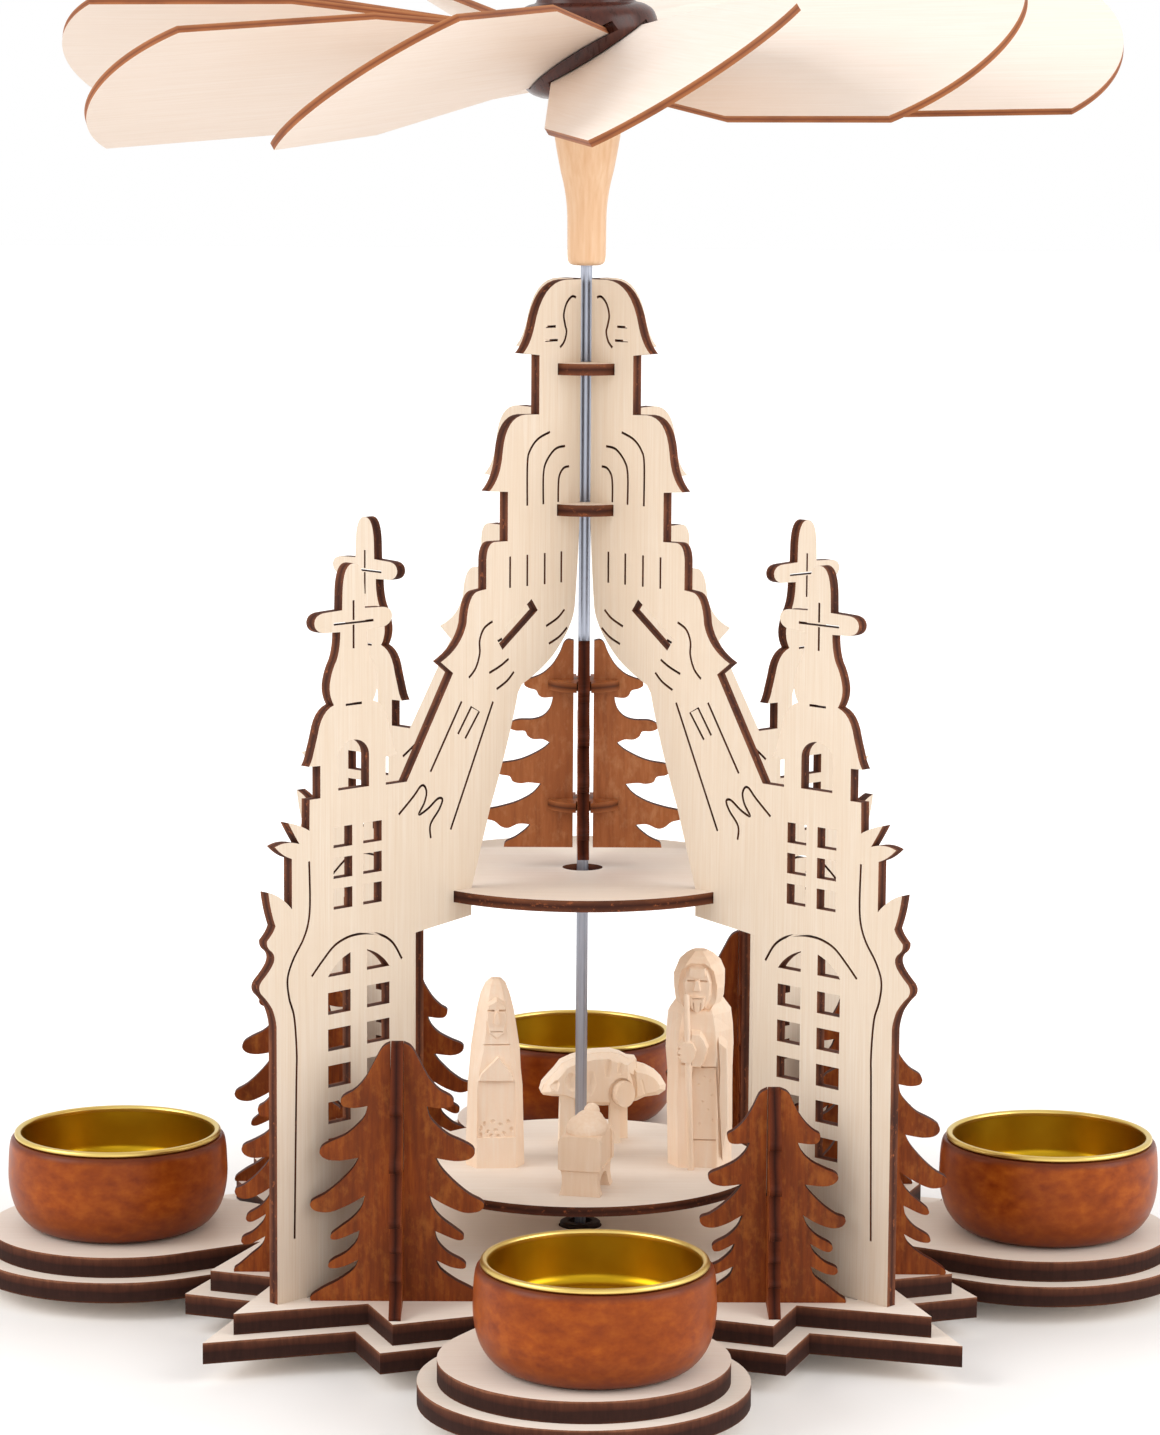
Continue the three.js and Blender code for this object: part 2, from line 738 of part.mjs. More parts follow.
const sides = { front: 0, right: 90, back: 180, left: 270 };
for (const [side, bearing] of Object.entries(sides)) {
  const quarter = group(onDeck, [0, 0, 0], bearing);
  for (const [size, fir, aside] of [["large", largeFir, -treeAside], ["small", smallFir, treeAside]]) {
    const [toSide, out] = treeShift[size][side];
    const tree = group(quarter, [aside + toSide, -treeOut - out, 0]);
    const across = firPlate(fir, 1, true);
    const along = firPlate(fir, alongShare, false);
    put(tree, `tree_${size}_${side}_across`, across, stainedFir());
    put(tree, `tree_${size}_${side}_along`, along, stainedFir(), [0, 0, 0], [0, 0, 90]);
  }
  const holder = group(quarter, [cupShift[side][0], -lobeD - cupShift[side][1], 0]);
  put(holder, `cup_${side}`, candleCup(), stainedCup());
  put(holder, `pan_${side}`, candlePan(), brass());
}

const rotor = group(pyramid, [0, 0, deck]);
put(rotor, "shaft", shaft(), steel());
put(rotor, "neck", neck(), beech(), [0, 0, neckRise]);

const wheel = group(rotor, [0, 0, neckRise + neckH - hubSocket]);
wheel.rotation.set(...wheelLean.map((turn) => turn * degree), "ZYX");
put(wheel, "hub", hub(), darkHub());
for (let i = 0; i < bladeCount; i += 1) {
  const turns = [bladePitch, -bladeLift[i], bladeBearing(i)];
  put(wheel, `blade_${i + 1}`, blade(), birch(), [0, 0, bladeAxis], turns);
}

const crown = group(rotor, [0, 0, crownRise]);
[0, 90, 180, 270].forEach((bearing, i) => {
  put(crown, `crown_plate_${i + 1}`, crownPlate(), stainedFir(), [0, 0, 0], [0, 0, bearing]);
});
put(crown, "crown_ring_lower", crownRing(), stainedFir(), [0, 0, crownRingHeights[0]]);
put(crown, "crown_ring_upper", crownRing(), stainedFir(), [0, 0, crownRingHeights[1]]);

put(rotor, "figure_disc", washer(discR, shaftR + snugFit, discT, 48), birch(), [0, 0, discRise]);
const stage = group(rotor, [0, 0, discRise + discT]);
put(stage, "figure_woman", woman(), carvedLime(), [-18, -1.3, 0], [0, 0, 4]);
put(stage, "figure_staff_bearer", staffBearer(), carvedLime(), [24.6, 0.8, 0], [0, 0, -6]);
put(stage, "figure_animal", animal(), carvedLime(), [4.6, 19, 0], [0, 0, 6]);
put(stage, "manger", manger(), carvedLime(), [0.9, -23.2, 0], [0, 0, -12.4]);
put(stage, "figure_child", child(), carvedLime(), [0.9, -23.2, 0], [0, 0, -12.4]);

export default pyramid;
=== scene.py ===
import math
import bmesh
import bpy
from mathutils import Euler, Matrix, Vector, noise
from mathutils.geometry import tessellate_polygon


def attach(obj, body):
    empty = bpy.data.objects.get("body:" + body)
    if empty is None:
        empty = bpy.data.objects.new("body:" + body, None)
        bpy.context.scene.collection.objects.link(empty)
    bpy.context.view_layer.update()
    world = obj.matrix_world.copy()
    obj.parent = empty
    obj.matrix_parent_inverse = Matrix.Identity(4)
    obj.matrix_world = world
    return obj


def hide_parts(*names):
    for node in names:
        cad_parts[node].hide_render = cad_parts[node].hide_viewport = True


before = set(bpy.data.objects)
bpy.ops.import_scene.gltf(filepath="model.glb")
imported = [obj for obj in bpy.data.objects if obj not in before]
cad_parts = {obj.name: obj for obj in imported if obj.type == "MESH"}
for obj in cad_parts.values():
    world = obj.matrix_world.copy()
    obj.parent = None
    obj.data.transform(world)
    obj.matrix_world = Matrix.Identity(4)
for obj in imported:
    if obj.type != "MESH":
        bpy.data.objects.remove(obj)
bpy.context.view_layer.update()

MM = 0.001

# Sizes of the pyramid in mm, as its solids have them. A rise is counted from the deck.

TIER_T, SHEET_T, BLADE_T, DISC_T, RING_T = 4.25, 2.375, 1.5, 2, 2
FOOT_H = 4
TIER_TOP = FOOT_H + TIER_T
DECK = TIER_TOP + TIER_T
LOBE_D, LOBE_R = 96.5, 27.8
TOWER_X = 65.6
PLATE_R = 38
DISC_RISE, PLATFORM_RISE, CROWN_RISE, NECK_RISE, WHEEL_RISE = 11.75, 74.25, 81, 201.5, 235.5
GUIDE_RISES = {"lower": 150.75, "upper": 179.5}
RING_RISES = {"lower": 8.25, "upper": 33.25}  # from the foot of the upper tree
DISC_TOP = DECK + DISC_RISE + DISC_T
CORNERS = {"back_right": 43.2, "back_left": 135, "front_left": 225, "front_right": 315}
SIDES = {"front": 0, "right": 90, "back": 180, "left": 270}
# how far each holder and tree stands to one side of its even place, and outwards
HOLDER_SHIFT = {"front": (1.9, 4.2), "right": (-0.8, 2), "back": (0, 2.5), "left": (0.5, 0.7)}
TREE_SHIFT = {
    "large": {"front": (0, 0), "right": (0, 0.8), "back": (0, 0), "left": (0, 2.4)},
    "small": {"front": (0.8, 0), "right": (0, 2.4), "back": (1.9, 0), "left": (0, -0.4)},
}


def make_camera():
    """Camera at the photograph's place: a long lens, a little below the blades."""
    yaw, pitch, roll = 0.00858, 0.14427, 0.00657
    camera_at = (-8.3, -884.9, TIER_TOP + 240.9)
    focus_px, high_px, wide_px, film = 4312.1, 1435, 1160, 36
    middle_px = (580.1, 717.6)
    look = Vector((math.sin(yaw) * math.cos(pitch), math.cos(yaw) * math.cos(pitch), -math.sin(pitch)))
    level = Vector((math.cos(yaw), -math.sin(yaw), 0))
    upright = level.cross(look)
    right = level * math.cos(roll) + upright * math.sin(roll)
    up = upright * math.cos(roll) - level * math.sin(roll)
    data = bpy.data.cameras.new("camera")
    data.sensor_fit = "VERTICAL"
    data.sensor_height = film
    data.lens = focus_px / high_px * film
    data.shift_x = (wide_px / 2 - middle_px[0]) / high_px
    data.shift_y = (middle_px[1] - high_px / 2) / high_px
    camera = bpy.data.objects.new("camera", data)
    camera.matrix_world = spot(camera_at) @ Matrix((right, up, -look)).transposed().to_4x4()
    bpy.context.scene.collection.objects.link(camera)
    bpy.context.scene.camera = camera


# Outlines in mm

def drawn(moves, bend_steps=8):
    """Points along moves: two numbers lead straight to a point, four or six bend on the way."""
    points = []
    for *bends, x, y in moves:
        knots = points[-1:] + list(zip(bends[::2], bends[1::2])) + [(x, y)]
        last = len(knots) - 1
        count = {0: 1, 2: bend_steps, 4: 12}[len(bends)]
        for t in [i / count for i in range(1, count + 1)]:
            shares = [math.comb(last, k) * (1 - t) ** (last - k) * t ** k for k in range(last + 1)]
            points.append(tuple(sum(s * p[axis] for s, p in zip(shares, knots)) for axis in (0, 1)))
    return points


def arc(cx, cy, rx, ry, start, end, steps=8):
    """Points on an ellipse, angles in degrees."""
    angles = [math.radians(start + (end - start) * i / steps) for i in range(steps + 1)]
    return [(cx + rx * math.cos(a), cy + ry * math.sin(a)) for a in angles]


def circle(radius, count=64):
    return arc(0, 0, radius, radius, 0, 360, count)[:-1]


def rectangle(x0, y0, x1, y1):
    return [(x0, y0), (x1, y0), (x1, y1), (x0, y1)]


def smooth(points, steps=6):
    """A soft curve through the points."""
    out = []
    for i in range(len(points) - 1):
        p0, p1 = Vector(points[max(i - 1, 0)]), Vector(points[i])
        p2, p3 = Vector(points[i + 1]), Vector(points[min(i + 2, len(points) - 1)])
        for t in [k / steps for k in range(steps)]:
            a = 2 * p1 + (p2 - p0) * t + (2 * p0 - 5 * p1 + 4 * p2 - p3) * t * t
            out.append(tuple((a + (3 * p1 - p0 - 3 * p2 + p3) * t ** 3) / 2))
    return out + [tuple(points[-1])]


def mirrored(half):
    """A half outline with its mirror image; a point with no x is their joint."""
    return half + [(-x, y) for x, y in reversed(half) if x]


def spun(points, degrees, x=0, y=0):
    """The points turned, then moved."""
    c, s = math.cos(math.radians(degrees)), math.sin(math.radians(degrees))
    return [(x + px * c - py * s, y + px * s + py * c) for px, py in points]


def four_quarters(points):
    return [p for i in range(4) for p in spun(points, 90 * i)]


def grown(points, step):
    """The outline moved outwards all round."""
    ends = zip(points, points[1:] + points[:1])
    sides = [Vector((by - ay, ax - bx)).normalized() for (ax, ay), (bx, by) in ends]
    corners = zip(points, sides[-1:] + sides, sides)
    return [tuple(Vector(p) + step / (1 + n.dot(m)) * (n + m)) for p, n, m in corners]


def slit(points, width=0.5):
    """The narrow closed outline of a laser line."""
    line = [Vector(p) for p in points]
    near, far = [], []
    for i, p in enumerate(line):
        along = (line[min(i + 1, len(line) - 1)] - line[max(i - 1, 0)]).normalized()
        side = Vector((-along.y, along.x)) * width / 2
        near.append(tuple(p + side))
        far.append(tuple(p - side))
    return near + far[::-1]


# Making pieces and putting them in their places

def to_object(name, mesh, *finishes):
    for finish in finishes:
        mesh.materials.append(MATERIALS[finish])
    obj = bpy.data.objects.new(name, mesh)
    bpy.context.scene.collection.objects.link(obj)
    return obj


def plate(name, outline, face, edge, holes=(), thickness=SHEET_T):
    """A flat plate in local X and Y, centred in Z, with one finish on its faces and one on its cut edges."""
    loops = [outline, *holes]
    flat = [p for loop in loops for p in loop]
    top, count = thickness / 2 * MM, len(flat)
    verts = [(x * MM, y * MM, z) for z in (top, -top) for x, y in flat]
    faces, slots = [], []
    for a, b, c in tessellate_polygon([[Vector((x, y, 0)) for x, y in loop] for loop in loops]):
        (ax, ay), (bx, by), (cx, cy) = flat[a], flat[b], flat[c]
        if (bx - ax) * (cy - ay) - (by - ay) * (cx - ax) < 0:
            b, c = c, b
        faces += [(a, b, c), (a + count, c + count, b + count)]
        slots += [0, 0]
    start = 0
    for loop in loops:
        size = len(loop)
        area = sum(loop[i - 1][0] * loop[i][1] - loop[i][0] * loop[i - 1][1] for i in range(size))
        outward = (area > 0) == (loop is outline)
        for i in range(size):
            a, b = start + i, start + (i + 1) % size
            faces.append((a, a + count, b + count, b) if outward else (b, b + count, a + count, a))
        slots += [1] * size
        start += size
    mesh = bpy.data.meshes.new(name)
    mesh.from_pydata(verts, [], faces)
    mesh.polygons.foreach_set("material_index", slots)
    mesh.polygons.foreach_set("use_smooth", [slot == 1 for slot in slots])
    mesh.update()
    mesh.set_sharp_from_angle(angle=math.radians(28))
    return to_object(name, mesh, face, edge)


def to_mesh(name, solid):
    mesh = bpy.data.meshes.new(name)
    solid.to_mesh(mesh)
    solid.free()
    return mesh


def lathe(name, profile, finish, segments=96):
    """A turned piece from [radius, height] points."""
    bm = bmesh.new()
    rings = []
    for r, h in profile:
        points = [(0, 0)] if r < 1e-6 else circle(r * MM, segments)
        rings.append([bm.verts.new((x, y, h * MM)) for x, y in points])
    for lower, upper in zip(rings, rings[1:]):
        for i in range(segments):
            j = (i + 1) % segments
            corners = ((lower, i), (lower, j), (upper, j), (upper, i))
            unique = list(dict.fromkeys(ring[k % len(ring)] for ring, k in corners))
            if len(unique) > 2:
                bm.faces.new(unique)
    bmesh.ops.recalc_face_normals(bm, faces=bm.faces)
    mesh = to_mesh(name, bm)
    mesh.polygons.foreach_set("use_smooth", [True] * len(mesh.polygons))
    mesh.set_sharp_from_angle(angle=math.radians(40))
    return to_object(name, mesh, finish)


def spot(at=(0, 0, 0), turns=(0, 0, 0)):
    """A place in mm, with turns in degrees about each axis."""
    spin = Euler([math.radians(a) for a in turns], "XYZ").to_matrix().to_4x4()
    return Matrix.Translation(Vector(at) * MM) @ spin


def place(obj, where, body, slot, *nodes):
    """Puts a piece at its spot, ties it to its body and hides the nodes it stands for."""
    obj.matrix_world = where
    bpy.context.view_layer.update()
    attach(obj, body)
    if nodes:
        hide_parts(*nodes)


# Materials. Patterns are in mm, in each piece's own frame.

def colour(hex_code):
    """sRGB hex to linear RGBA."""
    parts = [int(hex_code[i:i + 2], 16) / 255 for i in (0, 2, 4)]
    return tuple(c / 12.92 if c <= 0.04045 else ((c + 0.055) / 1.055) ** 2.4 for c in parts) + (1,)


def node(tree, kind, inputs=None, stops=(), **settings):
    """Adds a node, sets it up, and joins or sets its inputs; stops are the colours of a ramp."""
    made = tree.nodes.new("ShaderNode" + kind)
    for key, value in settings.items():
        setattr(made, key, value)
    for i, (position, shade) in enumerate(stops):
        band = made.color_ramp.elements
        stop = band[i] if i < 2 else band.new(position)
        stop.position, stop.color = position, colour(shade)
    for key, value in (inputs or {}).items():
        if isinstance(value, bpy.types.NodeSocket):
            tree.links.new(value, made.inputs[key])
        else:
            made.inputs[key].default_value = value
    return made


def new_finish(name, roughness, shine, metal=0):
    """A named material with its plain surface values, and its node tree."""
    material = bpy.data.materials.new(name)
    material.use_nodes = True
    skin = material.node_tree.nodes["Principled BSDF"].inputs
    skin["Roughness"].default_value = roughness
    skin["Specular IOR Level"].default_value = shine
    skin["Metallic"].default_value = metal
    return material, material.node_tree


def lay_on(material, pattern, stops, layers, relief, depth, gloss=None):
    """Colours a surface by the pattern's stops, then by layers of [pattern, from, to, most, colour];
    relief goes down by depth in mm, and gloss has the pattern's range and its least and most roughness."""
    tree = material.node_tree
    skin = tree.nodes["Principled BSDF"].inputs
    base = node(tree, "ValToRGB", {0: pattern}, stops).outputs[0]
    for over, low, high, most, shade in layers:
        share = node(tree, "MapRange", {"Value": over, "From Min": low, "From Max": high, "To Max": most})
        mixed = {0: share.outputs[0], 6: base, 7: colour(shade)}
        base = node(tree, "Mix", mixed, data_type="RGBA").outputs[2]
    tree.links.new(base, skin["Base Color"])
    if gloss:
        ends = dict(zip(("From Min", "From Max", "To Min", "To Max"), gloss))
        tree.links.new(node(tree, "MapRange", {"Value": pattern, **ends}).outputs[0], skin["Roughness"])
    bump = node(tree, "Bump", {"Height": relief, "Strength": 1, "Distance": depth * MM})
    tree.links.new(bump.outputs["Normal"], skin["Normal"])
    return material


def grain(tree, per_mm, detail=4, rough=0.55):
    """Streaks or clouds, so many to the mm along each axis, and different on each piece."""
    luck, at = node(tree, "ObjectInfo").outputs["Random"], node(tree, "TexCoord").outputs["Object"]
    own = node(tree, "Math", {0: luck, 1: 60}, operation="MULTIPLY").outputs[0]
    sized = node(tree, "Mapping", {"Vector": at, "Scale": [n / MM for n in per_mm]}).outputs[0]
    settings = {"Vector": sized, "W": own, "Scale": 1, "Detail": detail, "Roughness": rough}
    return node(tree, "TexNoise", settings, noise_dimensions="4D").outputs["Fac"]


def height_in(tree):
    """How high a spot lies in its piece's own frame."""
    return node(tree, "SeparateXYZ", {0: node(tree, "TexCoord").outputs["Object"]}).outputs["Z"]


def depth_in_sheet(tree, thickness, wander):
    """0 at the lower face of a sheet and 1 at the upper, with the veneer lines wandering a little."""
    half = thickness / 2 * MM
    ends = {"Value": height_in(tree), "From Min": -half, "From Max": half}
    depth = node(tree, "MapRange", ends, clamp=False)
    drift = node(tree, "Math", {0: grain(tree, (0.12, 0.12, 0.5), 3), 1: 0.5}, operation="SUBTRACT")
    joined = {0: drift.outputs[0], 1: wander, 2: depth.outputs[0]}
    return node(tree, "Math", joined, operation="MULTIPLY_ADD").outputs[0]


def birch_face(name, along, dark, middle, light):
    """Raw sanded birch veneer: pale cream with a pink cast, matt, with hair-fine fibres along one
    local axis, a few broad figure bands and faint clouds, so that big faces are never one flat tone."""
    m, t = new_finish(name, 0.62, 0.25)
    thin = {"x": (0.05, 2.4, 2.4), "y": (2.4, 0.05, 2.4)}[along]
    wide = {"x": (0.015, 0.16, 0.16), "y": (0.16, 0.015, 0.16)}[along]
    fibres = grain(t, thin, 5, 0.6)
    bands = (grain(t, wide, 3), 0.45, 0.75, 0.25, dark)
    clouds = (grain(t, (0.05, 0.05, 0.05), 2), 0.45, 0.75, 0.35, dark)
    return lay_on(m, fibres, [(0.3, dark), (0.55, middle), (0.75, light)], [bands, clouds], fibres, 0.02)


def base_edge():
    """Laser-cut edge of the thick base ply: charred almost black low down, red-brown in the top
    veneers with a light line right under the face, and soot streaks across the sheet."""
    m, t = new_finish("laser_edge_thick_birch_ply", 0.72, 0.12)
    veneers = [(0, "54301f"), (0.09, "36201a"), (0.52, "331d17"), (0.63, "48271c"), (0.88, "5c3626"),
               (0.95, "8a5a42")]
    streaks = grain(t, (1.1, 1.1, 0.25))
    soot = (streaks, 0.4, 0.8, 0.5, "1f110e")
    return lay_on(m, depth_in_sheet(t, TIER_T, 0.22), veneers, [soot], streaks, 0.06)


def sheet_edge():
    """Laser-cut edge of the thin ply: red-brown outer veneers round a dark glue line, scorched darker
    by turns along the cut, with orange specks of bare wood, matt."""
    m, t = new_finish("laser_edge_thin_birch_ply", 0.7, 0.15)
    veneers = [(0.05, "70402a"), (0.3, "58301f"), (0.48, "3a1d14"), (0.6, "552d1d"), (0.9, "7c4b32")]
    soot = (grain(t, (0.09, 0.09, 0.2), 3), 0.42, 0.68, 0.8, "341a13")
    bare = (grain(t, (0.7, 0.7, 1.2), 4, 0.7), 0.58, 0.72, 0.7, "b5653a")
    return lay_on(m, depth_in_sheet(t, SHEET_T, 0.25), veneers, [soot, bare], grain(t, (1.3, 1.3, 0.3)), 0.05)


def blade_edge():
    """Laser-cut edge of the thin blades: caramel brown, only a thin darker glue line in the middle."""
    m, t = new_finish("laser_edge_blade", 0.65, 0.25)
    veneers = [(0.05, "a4683f"), (0.35, "965833"), (0.5, "743e25"), (0.65, "965833"), (0.95, "ac734a")]
    heat = grain(t, (0.12, 0.12, 0.3), 3)
    return lay_on(m, depth_in_sheet(t, BLADE_T, 0.2), veneers, [(heat, 0.45, 0.7, 0.5, "6b3a26")], heat, 0.03)


def fir_stain(name, dark, middle, light, patch, fleck):
    """Brown-stained veneer of a tree: satin, grain streaks running up it, darker patches where the
    stain pooled and light flecks where it took less."""
    m, t = new_finish(name, 0.5, 0.17)
    streaks = grain(t, (1, 0.09, 1), 6, 0.65)
    pools = (grain(t, (0.09, 0.05, 0.09), 3), 0.42, 0.7, 0.65, patch)
    bare = (grain(t, (0.5, 0.28, 0.5), 5, 0.65), 0.5, 0.75, 0.55, fleck)
    stops = [(0.3, dark), (0.5, middle), (0.72, light)]
    return lay_on(m, streaks, stops, [pools, bare], streaks, 0.05, gloss=(0.3, 0.8, 0.42, 0.58))


def fir_edge(name, outer, inner, core):
    """Cut edge of the trees: scorched, the stain soaked in to a dark red-brown with a black core line."""
    m, t = new_finish(name, 0.6, 0.1)
    veneers = [(0.05, outer), (0.35, inner), (0.5, core), (0.65, inner), (0.95, outer)]
    return lay_on(m, depth_in_sheet(t, SHEET_T, 0.3), veneers, [], grain(t, (1.2, 1.2, 0.4)), 0.06)


def turned_stain():
    """Turned candle holder: deep orange-brown stain under satin lacquer, softly mottled with clouds where
    the stain pooled, painted shade darker low down under the bulge of the bowl, and a thin red-brown line
    round the lip."""
    m, t = new_finish("stained_turned_holder", 0.3, 0.17)
    height = height_in(t)
    mottle = grain(t, (0.3, 0.3, 0.45), 5, 0.6)
    pools = (grain(t, (0.07, 0.07, 0.1), 3), 0.42, 0.7, 0.55, "78320c")
    # painted shade: darker from 9 mm down to the foot, where the bowl curves in under itself
    low = (height, 9 * MM, 0, 0.7, "562513")
    lip = (height, 17.8 * MM, 18.9 * MM, 0.75, "5c2a1c")
    stops = [(0.3, "7c320b"), (0.52, "95440e"), (0.75, "ae5917")]
    return lay_on(m, mottle, stops, [pools, low, lip], mottle, 0.03, gloss=(0.3, 0.8, 0.3, 0.42))


def pan_brass():
    """Thin pressed brass pan: olive gold and smooth inside, tarnished a little in clouds, and
    painted pale gold along the rolled rim as a painted highlight."""
    m, t = new_finish("pressed_brass_pan", 0.3, 0.5, metal=1)
    tarnish = grain(t, (0.08, 0.08, 0.08), 3)
    # painted highlight: pale gold on the rolled rim, from 19.2 mm up
    rim = (height_in(t), 19.2 * MM, 19.8 * MM, 1, "dcc070")
    stops = [(0.3, "ad8510"), (0.7, "bc951e")]
    return lay_on(m, tarnish, stops, [rim], grain(t, (0.5, 0.5, 0.5)), 0.003, gloss=(0.3, 0.75, 0.28, 0.36))


def drawn_steel():
    """Drawn steel rod: blue-grey, softly reflecting, with fine lines drawn along it."""
    m, t = new_finish("drawn_steel_rod", 0.45, 0.5, metal=1)
    lines = grain(t, (3, 3, 0.03), 3)
    stops = [(0.3, "999eab"), (0.7, "babfcb")]
    return lay_on(m, lines, stops, [], lines, 0.006, gloss=(0.3, 0.7, 0.42, 0.54))


def turned_beech():
    """Turned beech of the neck and feet: warm pale peach, satin, with short faint flecks up the grain."""
    m, t = new_finish("turned_beech", 0.45, 0.35)
    streaks = grain(t, (0.9, 0.9, 0.06), 5)
    flecks = (grain(t, (3, 3, 0.6), 3), 0.6, 0.8, 0.22, "cb9868")
    return lay_on(m, streaks, [(0.3, "e0b389"), (0.55, "e9c29c"), (0.75, "efcfae")], [flecks], streaks, 0.02)


def knob_stain():
    """Turned hub stained dark chocolate brown and lacquered, so the light runs over it in clear glints."""
    m, t = new_finish("dark_stained_hub", 0.28, 0.32)
    streaks = grain(t, (0.9, 0.9, 0.3), 5)
    stops = [(0.3, "33160e"), (0.55, "472015"), (0.8, "5c2d1d")]
    return lay_on(m, streaks, stops, [], streaks, 0.03, gloss=(0.3, 0.8, 0.24, 0.38))


def pivot_stain():
    """Small turned pivot button, stained near black with a brown cast, satin with faint turning swirls."""
    m, t = new_finish("dark_turned_button", 0.5, 0.15)
    swirl = grain(t, (0.6, 0.6, 1.2), 3)
    return lay_on(m, swirl, [(0.3, "1e130e"), (0.7, "302018")], [], swirl, 0.01, gloss=(0.3, 0.7, 0.45, 0.6))


def carved_lime(name, dark, middle, light, cloudy):
    """Raw carved limewood: pale and warm, quite matt, with very faint grain up the figure, soft
    clouds, and small torn specks left by the knife."""
    m, t = new_finish(name, 0.66, 0.22)
    streaks = grain(t, (1.3, 1.3, 0.1), 4, 0.55)
    torn = grain(t, (1.6, 1.6, 1.6), 4, 0.7)
    clouds = (grain(t, (0.12, 0.12, 0.07), 2), 0.42, 0.7, 0.4, cloudy)
    specks = (torn, 0.68, 0.8, 0.4, "b98a66")
    return lay_on(m, streaks, [(0.3, dark), (0.55, middle), (0.75, light)], [clouds, specks], torn, 0.05)


def seen_directly(tree):
    """1 for what the camera sees, directly or in metal and gloss, and 0 for the light on the object."""
    path = node(tree, "LightPath").outputs
    straight = node(tree, "Math", {0: path["Is Camera Ray"], 1: path["Is Glossy Ray"]}, operation="MAXIMUM")
    through = path["Is Transmission Ray"]
    return node(tree, "Math", {0: straight.outputs[0], 1: through}, operation="MAXIMUM").outputs[0]


def floor_paper():
    """Pale matt paper: round the base it keeps the soft warm shadow, and away from the pyramid its own
    glow, only for what the camera sees, takes it to white."""
    m, t = new_finish("pale_paper_floor", 0.8, 0.1)
    skin = t.nodes["Principled BSDF"].inputs
    skin["Base Color"].default_value = colour("f6f4f2")
    skin["Emission Color"].default_value = colour("ffffff")
    at = node(t, "TexCoord").outputs["Object"]
    away = node(t, "VectorMath", {0: at}, operation="LENGTH").outputs["Value"]
    ends = {"From Min": 0.12, "From Max": 0.34, "To Min": 0.02, "To Max": 0.5}
    fade = node(t, "MapRange", {"Value": away, **ends})
    glow = node(t, "Math", {0: seen_directly(t), 1: fade.outputs[0]}, operation="MULTIPLY")
    t.links.new(glow.outputs[0], skin["Emission Strength"])
    return m


MATERIALS = {
    # One birch ply in three tones: face_x on the flat plates and blade_face on the blades are painted paler
    # and greyer, a painted sheen of the white light from above, and face_y on the walls is painted darker,
    # painted shade.
    "face_x": birch_face("birch_veneer_grain_across_painted_lit", "x", "ebdccd", "efe2d5", "f1e7dc"),
    "face_y": birch_face("birch_veneer_grain_up_painted_shade", "y", "d9c5ae", "dfcfbc", "e3d6c7"),
    "blade_face": birch_face("birch_veneer_blade_painted_lit", "x", "eeded0", "f2e4d8", "f4e8de"),
    "tier_edge": base_edge(),
    "sheet_edge": sheet_edge(),
    "blade_edge": blade_edge(),
    "fir": fir_stain("stained_fir_veneer", "622a0b", "823c12", "9f531b", "58260b", "b26b2c"),
    "upper_fir": fir_stain("stained_upper_fir_veneer", "8b4f2a", "9e5d33", "af6d42", "8f5029", "c28b60"),
    "fir_edge": fir_edge("stained_fir_laser_edge", "602b15", "421c10", "280f09"),
    "upper_fir_edge": fir_edge("stained_upper_fir_laser_edge", "8f5430", "6c3a1e", "4a2614"),
    "holder": turned_stain(),
    "brass": pan_brass(),
    "steel": drawn_steel(),
    "beech": turned_beech(),
    "hub": knob_stain(),
    "pivot": pivot_stain(),
    "lime": carved_lime("carved_limewood", "f5dac0", "f6dfc8", "f8e5d1", "eecba8"),
    # The animal's limewood, the same wood painted paler: painted light.
    "lime_painted_lit": carved_lime("carved_limewood_painted_lit", "f9e3cb", "fae7d2", "fbecdb", "f4d8b9"),
    # The manger's and the child's limewood, the same wood painted darker: painted shade.
    "lime_painted_shade": carved_lime("carved_limewood_painted_shade", "eccfb3", "f0d6bd", "f3ddc8", "e2c09c"),
    "floor": floor_paper(),
}


# Base tiers with round lobes and a star between them

def tier_outline():
    neck = (14.6, LOBE_D - 30.1)
    reach = math.hypot(neck[0], LOBE_D - neck[1])
    touch = math.pi - math.atan2(neck[0], LOBE_D - neck[1]) - math.acos(LOBE_R / reach)
    lobe = arc(LOBE_D, 0, LOBE_R, LOBE_R, 0, math.degrees(touch), 24)
    star = [(75.1, 36.9), (60.6, 42.2), (68.2, 68.2), (42.2, 60.6), (36.9, 75.1)]
    return four_quarters(lobe + [neck[::-1]] + star + [neck] + [(y, x) for x, y in lobe[:0:-1]])


def make_base():
    lower = plate("lower_tier", grown(tier_outline(), 3.8), "face_x", "tier_edge", [], TIER_T)
    place(lower, spot((0, 0, FOOT_H + TIER_T / 2)), "stand", "birch_ply", "base_lower")
    holes = [circle(4.55, 32)] + [spun(rectangle(55.7, -1.49, 78.3, 1.49), turn) for turn in CORNERS.values()]
    upper = plate("upper_tier", tier_outline(), "face_x", "tier_edge", holes, TIER_T)
    place(upper, spot((0, 0, TIER_TOP + TIER_T / 2)), "stand", "birch_ply", "base_upper")
    bun = [(0, 0)] + arc(2, 2, 2, 2, -90, 40, 10) + [(3.2, FOOT_H), (0, FOOT_H)]
    for i, (x, y) in enumerate(four_quarters([(94, 14)])):
        foot = lathe(f"bun_foot_{i + 1}", bun, "beech", 48)
        place(foot, spot((x, y, 0)), "stand", "beech")
    cup = [(0, 0), (4.25, 0), (4.25, 4.8)] + arc(3.8, 4.8, 0.45, 0.45, 0, 90, 5)
    cup += [(2.7, 5.25)] + arc(0, 5.25, 2.5, 3, 0, -90, 10)
    pivot = lathe("pivot_button", cup, "pivot", 48)
    place(pivot, spot((0, 0, TIER_TOP)), "stand", "dark_pivot", "pivot_cup")


# Church walls, in [distance from the shaft, rise]

